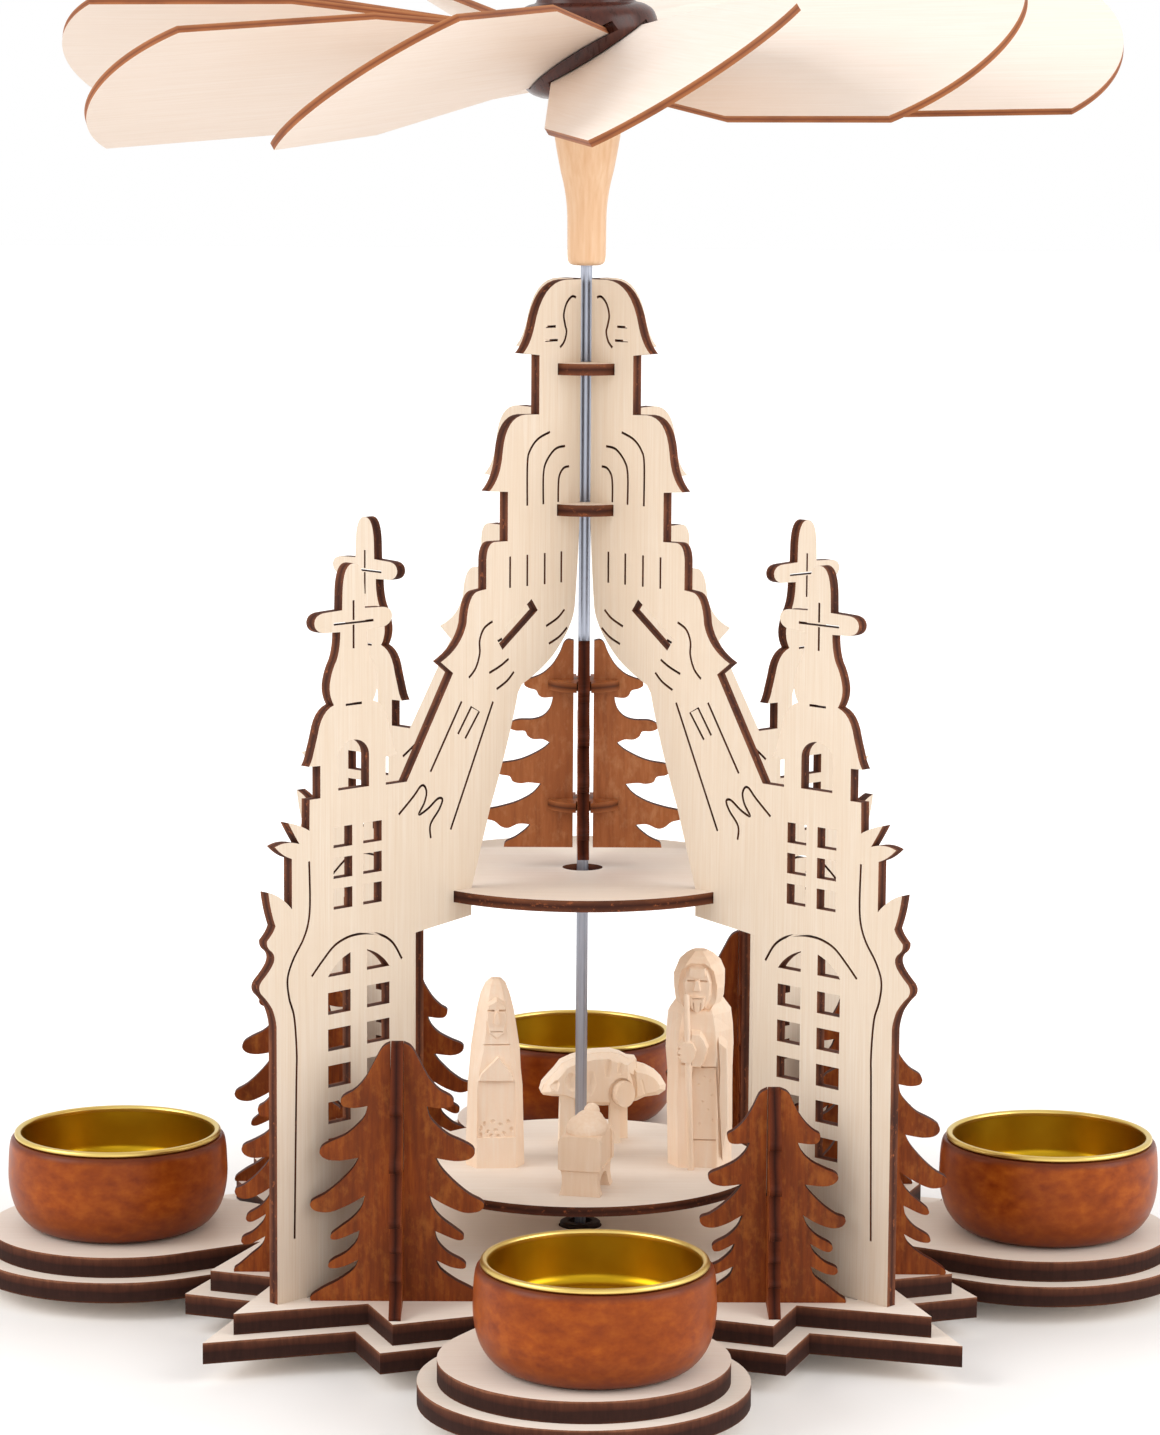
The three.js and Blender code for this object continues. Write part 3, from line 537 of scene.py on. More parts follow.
OUTER_SIDE = [
    (49.4, 0), (56, 0), (56, -4), (78, -4), (78, 0), (86, 0), (86, 55.75), (86.2, 57.6, 87.1, 59.55),
    (88.4, 61.5, 89.9, 62.8), (91, 64.2, 89.8, 65.4), (87.6, 67.2, 86.9, 68.3), (86, 69.8, 87.2, 70.9),
    (88.6, 71.8, 88.4, 73.1), (86.6, 74.6, 86.2, 75.8), (87.5, 79, 88, 82.65), (84.6, 81.6, 81.9, 78.55),
    (81.9, 88.55), (84.2, 89.3, 86.3, 91.35), (83.4, 92.4, 79.9, 91.25), (81.4, 93.4, 82.8, 95.75),
    (79.8, 95, 77.3, 93.55), (77.2, 99.65), (74.4, 99.65), (74.4, 106.05),
]
# right half of the tower, from its own middle
TOWER = [
    (11.8, 106.15), (10.9, 107.2, 10.4, 109.3), (9.6, 111.6, 9.1, 113.6), (8, 116.9, 5.2, 117.65),
    (6.5, 119.6, 6.3, 121.75), (5.9, 124.3, 4.5, 126.4), (3.5, 128.6, 3.5, 131.9), (8.1, 132.05),
    (10.3, 132.6, 10.3, 134.2), (10.1, 136, 7.1, 136), (3, 136.15), (2.9, 139.75),
    (2.7, 143.6, 1.7, 145.15, 0, 145.15),
]
INNER_SIDE = [
    (57, 106.05), (57, 100.4), (51.3, 100.4), (38.6, 121.05), (42, 123.55), (36.3, 126, 34.9, 130.8),
    (34.4, 136.9, 31.4, 137.05), (29.4, 137.25), (29.4, 143.25), (29.2, 146.6, 27, 146.65), (23.4, 146.55),
    (23.4, 156.55), (28.6, 156.95), (25.4, 159.4, 24.9, 164.75), (24, 171.8, 18.5, 171.9), (14.6, 171.75),
    (14.6, 183.75), (19.3, 184.25), (17.2, 185.9, 16.1, 189.55), (13.9, 198.5, 7, 198.75), (2.7, 198.75),
]
SHAFT_SIDE = [
    (3.1, 141, 4, 131.75), (4.6, 127.4, 10.3, 122.15), (13.6, 119.4, 19.2, 116.95), (20.3, 115.4),
    (22.6, 106, 28, 92.75),
]
CURVES = [
    [(52.6, 64.7), (55, 68.2), (58, 70.2), (61.5, 71.1), (65, 71.3), (68, 70.9), (71, 69.7), (74, 67.2),
     (76.8, 64.5)],
    [(77.4, 87.5), (77.2, 79.8), (77.6, 75.6), (79, 72.2), (81.6, 68.6), (83.1, 65), (82.7, 61), (81.4, 57),
     (80.8, 50), (80.9, 44), (81.2, 28), (81.5, 12.5)],
    [(7, 131.35), (9, 129.75), (12.3, 128.35)], [(6.2, 127.55), (8.5, 125.85), (11.5, 124.65)],
    [(23, 122.55), (25.5, 121.25), (28.5, 120.15)], [(21.5, 119.75), (23.5, 118.05), (26.4, 116.65)],
    [(27.6, 130.6), (30, 129.35), (31.2, 127), (31.2, 124.3), (32.3, 121.5), (34.2, 119.7)],
    [(44.7, 88.2), (44.8, 91), (42.4, 93.8), (41.5, 95.7), (42.8, 96), (45.5, 94.3), (48, 93.4), (46.5, 95.6),
     (45.9, 97.6), (46.5, 99), (47.6, 99), (49.5, 97.2), (53.5, 94)],
    [(4.2, 195.1), (5.4, 195.3), (6.9, 194), (7.7, 191.7), (7.3, 189.6), (6.9, 188.2), (7.5, 186.3),
     (8.7, 185.1)],
    [(5.9, 160.75), (7.5, 160.45), (8.7, 159), (9, 156.7), (9, 153.6)],
    [(7.1, 164.95), (9.9, 164.5), (12.4, 162.2), (13.3, 159.5), (13.3, 153.4)],
    [(11.5, 168.05), (14.9, 166.8), (17.1, 164.7), (17.9, 162), (17.9, 153.4)],
]
STRAIGHTS = [
    [(60.3, 133.55), (70.8, 133.55)], [(65.6, 137.9), (65.6, 134)], [(65.6, 133.1), (65.6, 128.4)],
    [(63.4, 117.45), (67.7, 117.45)], [(27.4, 114.2), (39.2, 89.3)], [(36.2, 115.1), (44.8, 101.7)],
    [(10, 189.4), (12.8, 189.4)], [(9.4, 186.6), (13, 186.6)],
    [(35.2, 107.45), (31.3, 112.55), (33.5, 113.75), (37.2, 108.55)],
] + [[(x, 143.4), (x, 137)] for x in (8, 12.8, 17.8, 22.7)]


def sheet_slot(near, far, rise):
    """Corners of a slot that another sheet sits in."""
    return [(near, rise + SHEET_T), (far, rise + SHEET_T), (far, rise), (near, rise)]


def wall_outline():
    tower = [(TOWER_X + x, y) for x, y in mirrored(drawn(TOWER, 5))]
    guide_slots = sheet_slot(2.7, 9.35, GUIDE_RISES["upper"]) + sheet_slot(2.7, 9.35, GUIDE_RISES["lower"])
    platform_slot = sheet_slot(33.3, 38.3, PLATFORM_RISE)
    low = [(33.3, 71.05), (49.4, 69.45)]
    return drawn(OUTER_SIDE + tower + INNER_SIDE + guide_slots + SHAFT_SIDE + platform_slot + low)


def wall_holes():
    """Window panes, two pointed window heads, the arched belfry opening and a slanted slot."""
    holes = []
    for sills, high, panes in (((26.75, 34.1, 41.45, 48.8, 56.15), 4.4, ((56, 62.1), (66.5, 72.5))),
                               ((77.05, 83.2, 89.35), 4.1, ((58.1, 63.1), (66, 71)))):
        holes += [rectangle(near, sill, far, sill + high) for sill in sills for near, far in panes]
    for near, far in ((62.1, 56), (66.5, 72.5)):
        holes.append(drawn([(near, 63.75), (near, 67.95), (near + 0.65 * (far - near), 66.75, far, 63.75)]))
    belfry = [(TOWER_X - 4.1, 100.65), (TOWER_X + 4.1, 100.65)] + arc(TOWER_X, 107, 4.1, 3.35, 0, 180, 16)
    return holes + [belfry, spun(rectangle(-6.2, -1.5, 6.2, 1.5), -36, 20.65, 129.4)]


def make_walls():
    holes = wall_holes() + [slit(smooth(line)) for line in CURVES] + [slit(line) for line in STRAIGHTS]
    for name, bearing in CORNERS.items():
        wall = plate(f"wall_{name}_ply", wall_outline(), "face_y", "sheet_edge", holes)
        place(wall, spot((0, 0, DECK), (90, 0, bearing)), "stand", "birch_ply", f"wall_{name}")


def make_guides_and_platform():
    for name, rise in GUIDE_RISES.items():
        guide = plate(f"guide_{name}_ply", circle(9.05), "face_x", "sheet_edge", [circle(1.6, 32)])
        place(guide, spot((0, 0, DECK + rise + SHEET_T / 2)), "stand", "birch_ply", f"guide_{name}")
    platform = plate("platform_ply", circle(PLATE_R, 160), "face_x", "sheet_edge", [circle(4.2, 48)])
    place(platform, spot((0, 0, DECK + PLATFORM_RISE + SHEET_T / 2)), "stand", "birch_ply", "platform")


# Firs: the right half of each outline, [across, up], one run of points per branch from the fork above it

LARGE_FIR = [
    [(0, 52.2), (1.6, 51.9), (3, 50.9), (4.6, 48), (6.2, 45), (8.2, 42.7), (10.4, 41.4), (11.1, 40.3),
     (10.5, 39.3), (8.3, 39), (5.8, 39.4)],
    [(6.4, 37.2), (7.8, 35.5), (10, 33.6), (12.8, 32.3), (14.8, 31.1), (15.2, 29.8), (14, 28.7),
     (11.3, 28.4), (7.5, 29)],
    [(8.7, 26.8), (11.3, 24), (14.2, 21.6), (16.6, 20.3), (17.1, 19.3), (16, 18.2), (13.2, 18), (9.5, 19.5),
     (6.3, 21.4)],
    [(7, 19), (8.7, 16.8), (11.3, 14.8), (13, 13.4), (12.9, 12.5), (11.3, 12.6), (7.4, 14.3)],
    [(8, 12), (10, 9.8), (12.8, 8.2), (13.6, 7.2), (12.9, 6.6), (10.5, 7), (7.6, 8.4)],
    [(8.6, 6.4), (11.5, 4.2), (14.5, 2.6), (17, 0.9), (17, 0)],
]
SMALL_FIR = [
    [(0, 43.3), (1.6, 43), (3, 42), (4.2, 39.4), (5.9, 36.7), (7.7, 34.9), (9, 34.1), (9.1, 33.2),
     (8.5, 32.3), (7.1, 32.1), (4.7, 32.4)],
    [(5.6, 30.4), (7.4, 28.6), (10, 27.2), (12.3, 26.2), (12.8, 25.2), (11.9, 24.1), (9.8, 23.6), (6.1, 24)],
    [(7.4, 22.2), (9.9, 19.7), (12.4, 17.9), (14.05, 17.3), (14.35, 16.4), (13.45, 15.4), (11.4, 15.2),
     (8.6, 16.2), (5.9, 17.8)],
    [(6.9, 15.4), (8.9, 13.4), (11.2, 12.1), (11.9, 11.2), (11.4, 10.4), (10, 10.6), (7.4, 12)],
    [(8.2, 10.2), (10.4, 8.2), (12.5, 7.2), (13, 6.4), (12.3, 5.7), (10.4, 6), (7.6, 7.4)],
    [(8.4, 5.4), (10.9, 3.4), (13.4, 1.4), (14.6, 0.6), (14.6, 0)],
]
UPPER_FIR = [
    [(2.1, 43.3), (3.3, 43.5), (4.2, 42.75), (5, 40.75), (6.5, 38.25), (8.5, 36.4), (10.5, 35.5), (12, 35),
     (12.3, 34), (11.3, 33.35), (9.9, 32.95), (9.3, 31.9), (8.3, 31.4), (6.4, 31.55)],
    [(6.6, 30.25), (7.2, 28.75), (8.5, 27.45), (10.5, 26.8), (13.5, 26.7), (15.2, 25.95), (15.3, 25),
     (14, 24.45), (12.2, 24.4), (11.6, 23.4), (10.4, 22.7), (8.5, 22.7), (6.9, 21.95)],
    [(8.5, 20.55), (11.5, 18.95), (14, 18.1), (17.3, 17.5), (18.2, 16.5), (17.3, 15.3), (15.3, 14.9),
     (14.6, 13.8), (13, 13.4), (11.3, 13.6), (8.7, 13.35)],
    [(10.5, 11.25), (13.5, 9.55), (17, 8.45), (20.3, 7.7), (21, 6.8), (20.3, 5.95), (18.4, 5.4), (17, 4.3),
     (15.5, 4), (13.3, 4.9), (10.9, 4.75)],
    [(12, 3.55), (14, 2.05), (16, 1.05), (16.4, 0)],
]
# A base tree has two plates: how wide each is, how it is turned, and whether its slot is cut from the top
TREE_PLATES = {"across": (1, 0, True), "along": (0.9, 90, False)}


def fir_side(runs):
    """The soft edge of a fir half: each branch smooth, each fork between branches sharp."""
    points = []
    for run in runs:
        fork = points[-1:]
        points += smooth(fork + run, 4)[len(fork):]
    return points


def fir_outline(runs, share, slot_from_top):
    half, snug, middle = SHEET_T / 2, 0.1, runs[0][0][1] / 2
    tight = half + snug
    right = [(share * x, y) for x, y in fir_side(runs)]
    if not slot_from_top:
        slot = [(tight, 0), (tight, middle + 0.3), (-tight, middle + 0.3), (-tight, 0)]
        return right + slot + [(-x, y) for x, y in reversed(right[1:])]
    shoulder, loose = right[0][1] - 0.2, -half - 2 * snug
    slot = [(loose, shoulder), (loose, middle), (tight, middle), (tight, shoulder)]
    right = [p for p in right if p[0] > half + 1]
    return [(-x, y) for x, y in reversed(right)] + slot + right


def make_trees():
    for side, bearing in SIDES.items():
        for size, runs, aside in (("large", LARGE_FIR, -36.6), ("small", SMALL_FIR, 36.6)):
            to_side, out = TREE_SHIFT[size][side]
            foot = spot(turns=(0, 0, bearing)) @ spot((aside + to_side, -57.5 - out, DECK))
            for way, (share, yaw, slot_from_top) in TREE_PLATES.items():
                outline = fir_outline(runs, share, slot_from_top)
                tree = plate(f"fir_{size}_{side}_{way}", outline, "fir", "fir_edge")
                where = foot @ spot(turns=(90, 0, yaw))
                place(tree, where, "stand", "stained_ply", f"tree_{size}_{side}_{way}")


def crown_outline():
    """Half of the upper tree, open along the shaft, with slots for its two rings."""
    points = fir_side(UPPER_FIR) + [(2.1, 0)]
    for rise in RING_RISES.values():
        points += [(2.1, rise), (4.8, rise), (4.8, rise + RING_T), (2.1, rise + RING_T)]
    return points


def ring_outline():
    """A small ring plate with four slots from its rim."""
    half, inner, outer = SHEET_T / 2 + 0.3, 4.5, 7.5
    edge = math.sqrt(outer ** 2 - half ** 2)
    start = math.degrees(math.atan2(half, edge))
    rim = arc(0, 0, outer, outer, start, 90 - start, 12)[1:-1]
    return four_quarters([(edge, -half), (inner, -half), (inner, half), (edge, half)] + rim)


def make_crown():
    for i in range(4):
        half = plate(f"upper_tree_half_{i + 1}", crown_outline(), "upper_fir", "fir_edge")
        where = spot((0, 0, DECK + CROWN_RISE), (90, 0, 90 * i))
        place(half, where, "rotor", "stained_ply", f"crown_plate_{i + 1}")
    for name, rise in RING_RISES.items():
        finishes = "upper_fir", "upper_fir_edge"
        ring = plate(f"upper_tree_ring_{name}", ring_outline(), *finishes, [circle(1.3, 24)], RING_T)
        where = spot((0, 0, DECK + CROWN_RISE + rise + RING_T / 2))
        place(ring, where, "rotor", "stained_ply", f"crown_ring_{name}")


# Candle holders

def make_holders():
    bowl = [(16.4, 0), (19, 1.2), (21.2, 3.8), (22.4, 7), (22.9, 10.6), (22.85, 14), (22.7, 16.6),
            (22.5, 18.1)]
    lip = [(22.3, 18.75), (21.95, 19.15), (21.6, 19.25), (21.1, 19.25)]
    cup = [(0, 0)] + smooth(bowl, 4) + lip + [(21.1, 8.5), (0, 8.5)]
    pan = [(0, 9.75), (18.2, 9.75)] + arc(18.2, 11.7, 1.9, 1.95, -90, 0) + [(20.6, 19.2)]
    pan += arc(20.88, 19.86, 0.7, 0.62, -70, 200, 20) + [(20.2, 19.1)] + arc(18, 12.4, 1.75, 2.15, 0, -90, 10)
    pan += [(9.6, 10.25), (9.3, 10.55), (8.6, 10.55), (8.2, 10.2), (0, 10.2)]
    for side, bearing in SIDES.items():
        to_side, out = HOLDER_SHIFT[side]
        where = spot(turns=(0, 0, bearing)) @ spot((to_side, -LOBE_D - out, DECK))
        holder = lathe(f"holder_{side}", cup, "holder", 128)
        place(holder, where, "stand", "stained_cup", f"cup_{side}")
        place(lathe(f"brass_pan_{side}", pan, "brass", 128), where, "stand", "brass", f"pan_{side}")


# Shaft, neck, hub and blades. The wheel sits a little askew, and each blade has its own lift and swing.

WHEEL = spot((0, 0, DECK + WHEEL_RISE), (2.8, -1.7, 0))
LIFTS = (0, 0, 0, 0, 0, 1, -1.4, -0.2, 0, 1.3)
SWINGS = (0, 0, 0, 0, 0, 0, 0, 0.6, 0.6, -1.9)
BLADES = [spot((0, 0, 8.3), (30.8, -LIFTS[i], 36 * i - 7.7 + SWINGS[i])) for i in range(10)]


def make_shaft():
    rod = [(0, -1.75), (0.3, -1.75), (1.2, 0.65), (1.2, 219.2), (0.9, 219.5), (0, 219.5)]
    place(lathe("steel_rod", rod, "steel", 40), spot((0, 0, DECK)), "rotor", "steel", "shaft")
    outer = smooth([(2.7, 0), (3.55, 0.45), (3.9, 1.6), (3.95, 5), (4.05, 11), (4.6, 15.5), (5.5, 19.5),
                    (6.35, 24), (7.1, 29), (7.6, 35.25)], 5)
    neck = lathe("turned_neck", [(0, 18.1), (1.3, 18.1), (1.3, 0)] + outer + [(0, 35.25)], "beech")
    place(neck, spot((0, 0, DECK + NECK_RISE)), "rotor", "beech", "neck")
    disc = plate("turning_disc_ply", circle(PLATE_R, 160), "face_x", "sheet_edge", [circle(1.3, 24)], DISC_T)
    place(disc, spot((0, 0, DECK + DISC_RISE + DISC_T / 2)), "rotor", "birch_ply", "figure_disc")


def make_hub():
    flange = [(9.4, 0), (11.8, 1.1), (13.6, 3.5), (14.6, 7.2), (14.8, 11), (14.6, 14.6), (13.7, 17.2),
              (11.9, 18.5), (10.4, 18.9)]
    knob = [(10, 19.2), (9.75, 20.2), (9.6, 21.8), (9.1, 23), (7.6, 23.8), (5, 24)]
    hub = lathe("turned_hub", [(0, 0)] + smooth(flange, 4) + smooth(knob, 4) + [(0, 24)], "hub")
    cuts = [prism(circle(8.4, 48), -1, 2, across="z")]
    for blade in BLADES:
        cuts.append(prism(rectangle(9.3, -12.6, 24, 12.6), -1.05, 1.05, across="z"))
        cuts[-1].transform(blade)
    shape(hub, [], cuts)
    hub.data.set_sharp_from_angle(angle=math.radians(35))
    place(hub, WHEEL, "rotor", "dark_hub", "hub")


def make_blades():
    root, knee, tip, root_half, half, rise = 9.6, 56.7, 108, 10.5, 22.8, 10
    radius = (half ** 2 + rise ** 2) / (2 * rise)
    spread = math.degrees(math.asin(half / radius))
    round_end = arc(tip - radius, 0, radius, radius, -spread, spread, 40)
    outline = [(root, -root_half), (knee, -half)] + round_end + [(knee, half), (root, root_half)]
    for i, blade in enumerate(BLADES):
        piece = plate(f"blade_ply_{i + 1}", outline, "blade_face", "blade_edge", [], BLADE_T)
        place(piece, WHEEL @ blade, "rotor", "birch_ply", f"blade_{i + 1}")


# Carved figures: a blank with wide knife facets, then pieces left proud and cuts made in it

def stack(rings):
    """One closed solid from rings of corners, in metres."""
    bm = bmesh.new()
    rings = [[bm.verts.new(p) for p in ring] for ring in rings]
    for lower, upper in zip(rings, rings[1:]):
        for i in range(len(lower)):
            j = (i + 1) % len(lower)
            bm.faces.new([lower[i], lower[j], upper[j], upper[i]])
    bm.faces.new(rings[0][::-1])
    bm.faces.new(rings[-1])
    return bm


def loft(sections):
    """A faceted blank from [height, half width, half depth, front share, side share] rings."""
    rings = []
    for z, w, d, front, side in sections:
        half = [(front * w, -d), (w, -side * d), (w, 0.5 * d), (0.55 * w, d)]
        ring = []
        for k, (x, y) in enumerate(mirrored(half)):
            knife = 1 + 0.035 * noise.noise(Vector((k * 3.7 + w, z * 0.9, d)))
            ring.append((x * knife * MM, y * knife * MM, z * MM))
        rings.append(ring)
    bm = stack(rings)
    bmesh.ops.triangulate(bm, faces=bm.faces)
    bmesh.ops.recalc_face_normals(bm, faces=bm.faces)
    return bm


def prism(points, near, far, grow=1, across="y"):
    """A slab whose outline lies across one axis, from near to far; the far side may grow or shrink."""
    cx, cy = (sum(values) / len(points) for values in zip(*points))
    rings = []
    for depth, share in ((near, 1), (far, grow)):
        flat = [(cx + share * (x - cx), cy + share * (y - cy)) for x, y in points]
        ring = [{"y": (u, depth, v), "x": (depth, u, v), "z": (u, v, depth)}[across] for u, v in flat]
        rings.append([Vector(p) * MM for p in ring])
    bm = stack(rings)
    bmesh.ops.recalc_face_normals(bm, faces=bm.faces)
    return bm


def lump(centre, radii, turns=(0, 0, 0), fine=2):
    """A faceted egg-shaped lump."""
    bm = bmesh.new()
    bmesh.ops.create_icosphere(bm, subdivisions=fine, radius=1)
    spin = spot(turns=turns).to_3x3()
    for v in bm.verts:
        v.co = (Vector(centre) + spin @ Vector([c * r for c, r in zip(v.co, radii)])) * MM
    return bm


def groove(x0, x1, z, front, deep, high):
    """A horizontal V cut into a front at y = front."""
    corners = [(front - 1.5, z + 1.6 * high), (front - 1.5, z - 1.2 * high), (front + deep, z)]
    return prism(corners, x0, x1, across="x")


def settle(obj):
    """Turns an object's modifiers into its mesh."""
    bpy.context.view_layer.update()
    mesh = bpy.data.meshes.new_from_object(obj.evaluated_get(bpy.context.evaluated_depsgraph_get()))
    obj.modifiers.clear()
    obj.data = mesh


def shape(obj, added, cuts):
    """Joins solids to a piece, then cuts others out of it, one after another."""
    tools = []
    for operation, solids in (("UNION", added), ("DIFFERENCE", cuts)):
        for solid in solids:
            tools.append(to_object("tool", to_mesh("tool", solid)))
            stroke = obj.modifiers.new("stroke", "BOOLEAN")
            stroke.operation, stroke.solver, stroke.object = operation, "EXACT", tools[-1]
    settle(obj)
    for tool in tools:
        bpy.data.objects.remove(tool)


def carve(name, blank, added, cuts, soft=0.14, wood="lime"):
    """A carved piece: the blank with its added solids and cuts, every edge just broken by the knife."""
    obj = to_object(name, to_mesh(name, blank), wood)
    shape(obj, added, cuts)
    broken = obj.modifiers.new("broken_edges", "BEVEL")
    broken.width, broken.segments = soft * MM, 2
    broken.limit_method, broken.angle_limit = "ANGLE", math.radians(14)
    settle(obj)
    return obj


def make_woman():
    blank = loft([
        (0, 6.05, 5.1, 0.68, 0.3), (6, 5.95, 5, 0.7, 0.3), (12, 5.75, 4.9, 0.7, 0.3),
        (17, 5.6, 4.75, 0.7, 0.25), (20.5, 5.35, 4.6, 0.68, 0.25), (24.7, 5, 4.3, 0.55, 0.2),
        (28.9, 4.4, 4, 0.5, 0.25), (33, 3.75, 3.7, 0.55, 0.3), (36.2, 3, 3.1, 0.5, 0.3),
        (38.4, 2.1, 2.2, 0.5, 0.4), (39.5, 1.1, 1.1, 0.5, 0.4),
    ])
    folded_arms = [(-4.4, 18.5), (4.2, 18.4), (3.6, 20.2), (0.4, 24.3), (-3.7, 20.2)]
    face = [(-2.3, 35.4), (-2.6, 31.5), (-1.9, 27.7), (0, 26.3), (1.9, 27.7), (2.6, 31.5), (2.3, 35.4),
            (0, 36.8)]
    nose = [(-0.4, 33.7), (0.4, 33.7), (0.9, 30.6), (0.55, 30.1), (-0.55, 30.1), (-0.9, 30.6)]
    apron = [(-4.05, 6.5), (3.95, 6.5), (3.8, 18.5), (-4, 18.5)]
    added = [prism(folded_arms, -2, -5.5, 0.84), prism(face, -2, -4.5, 0.74),
             prism(nose, -3, -5.05, 0.7)]
    # eyes, mouth and the neck line
    grooves = ((-2, -0.45, 33.4, -4.4, 0.75, 0.45), (0.45, 2, 33.4, -4.4, 0.75, 0.45),
               (-1.3, 1.3, 28.95, -4.45, 0.5, 0.3), (-3, 3, 26.1, -4.4, 0.75, 0.5))
    hood_line = [(3.6, 30.2), (3, 30.2), (2.7, 35.2), (3.1, 35.4)]
    cuts = [prism(apron, -7, -4.55)] + [groove(*cut) for cut in grooves]
    cuts += [prism([(x * side, z) for x, z in hood_line], -6, -3.3) for side in (-1, 1)]
    for x, z in ((-3.4, 7), (-2.6, 9.4), (-1.9, 7.7), (-0.8, 9.9), (-0.2, 8), (0.9, 9.2), (1.6, 7.3),
                 (2.5, 9.8), (3.2, 8.2), (-1.2, 6.9), (0.4, 6.8), (-3.3, 8.5)):
        cuts.append(lump((x, -4.75, z), (0.75, 0.62, 0.55), (0, 25 * x, 0), 1))
    woman = carve("carved_hooded_woman", blank, added, cuts)
    place(woman, spot((-18, -1.3, DISC_TOP), (0, 0, 4)), "rotor", "carved_wood", "figure_woman")


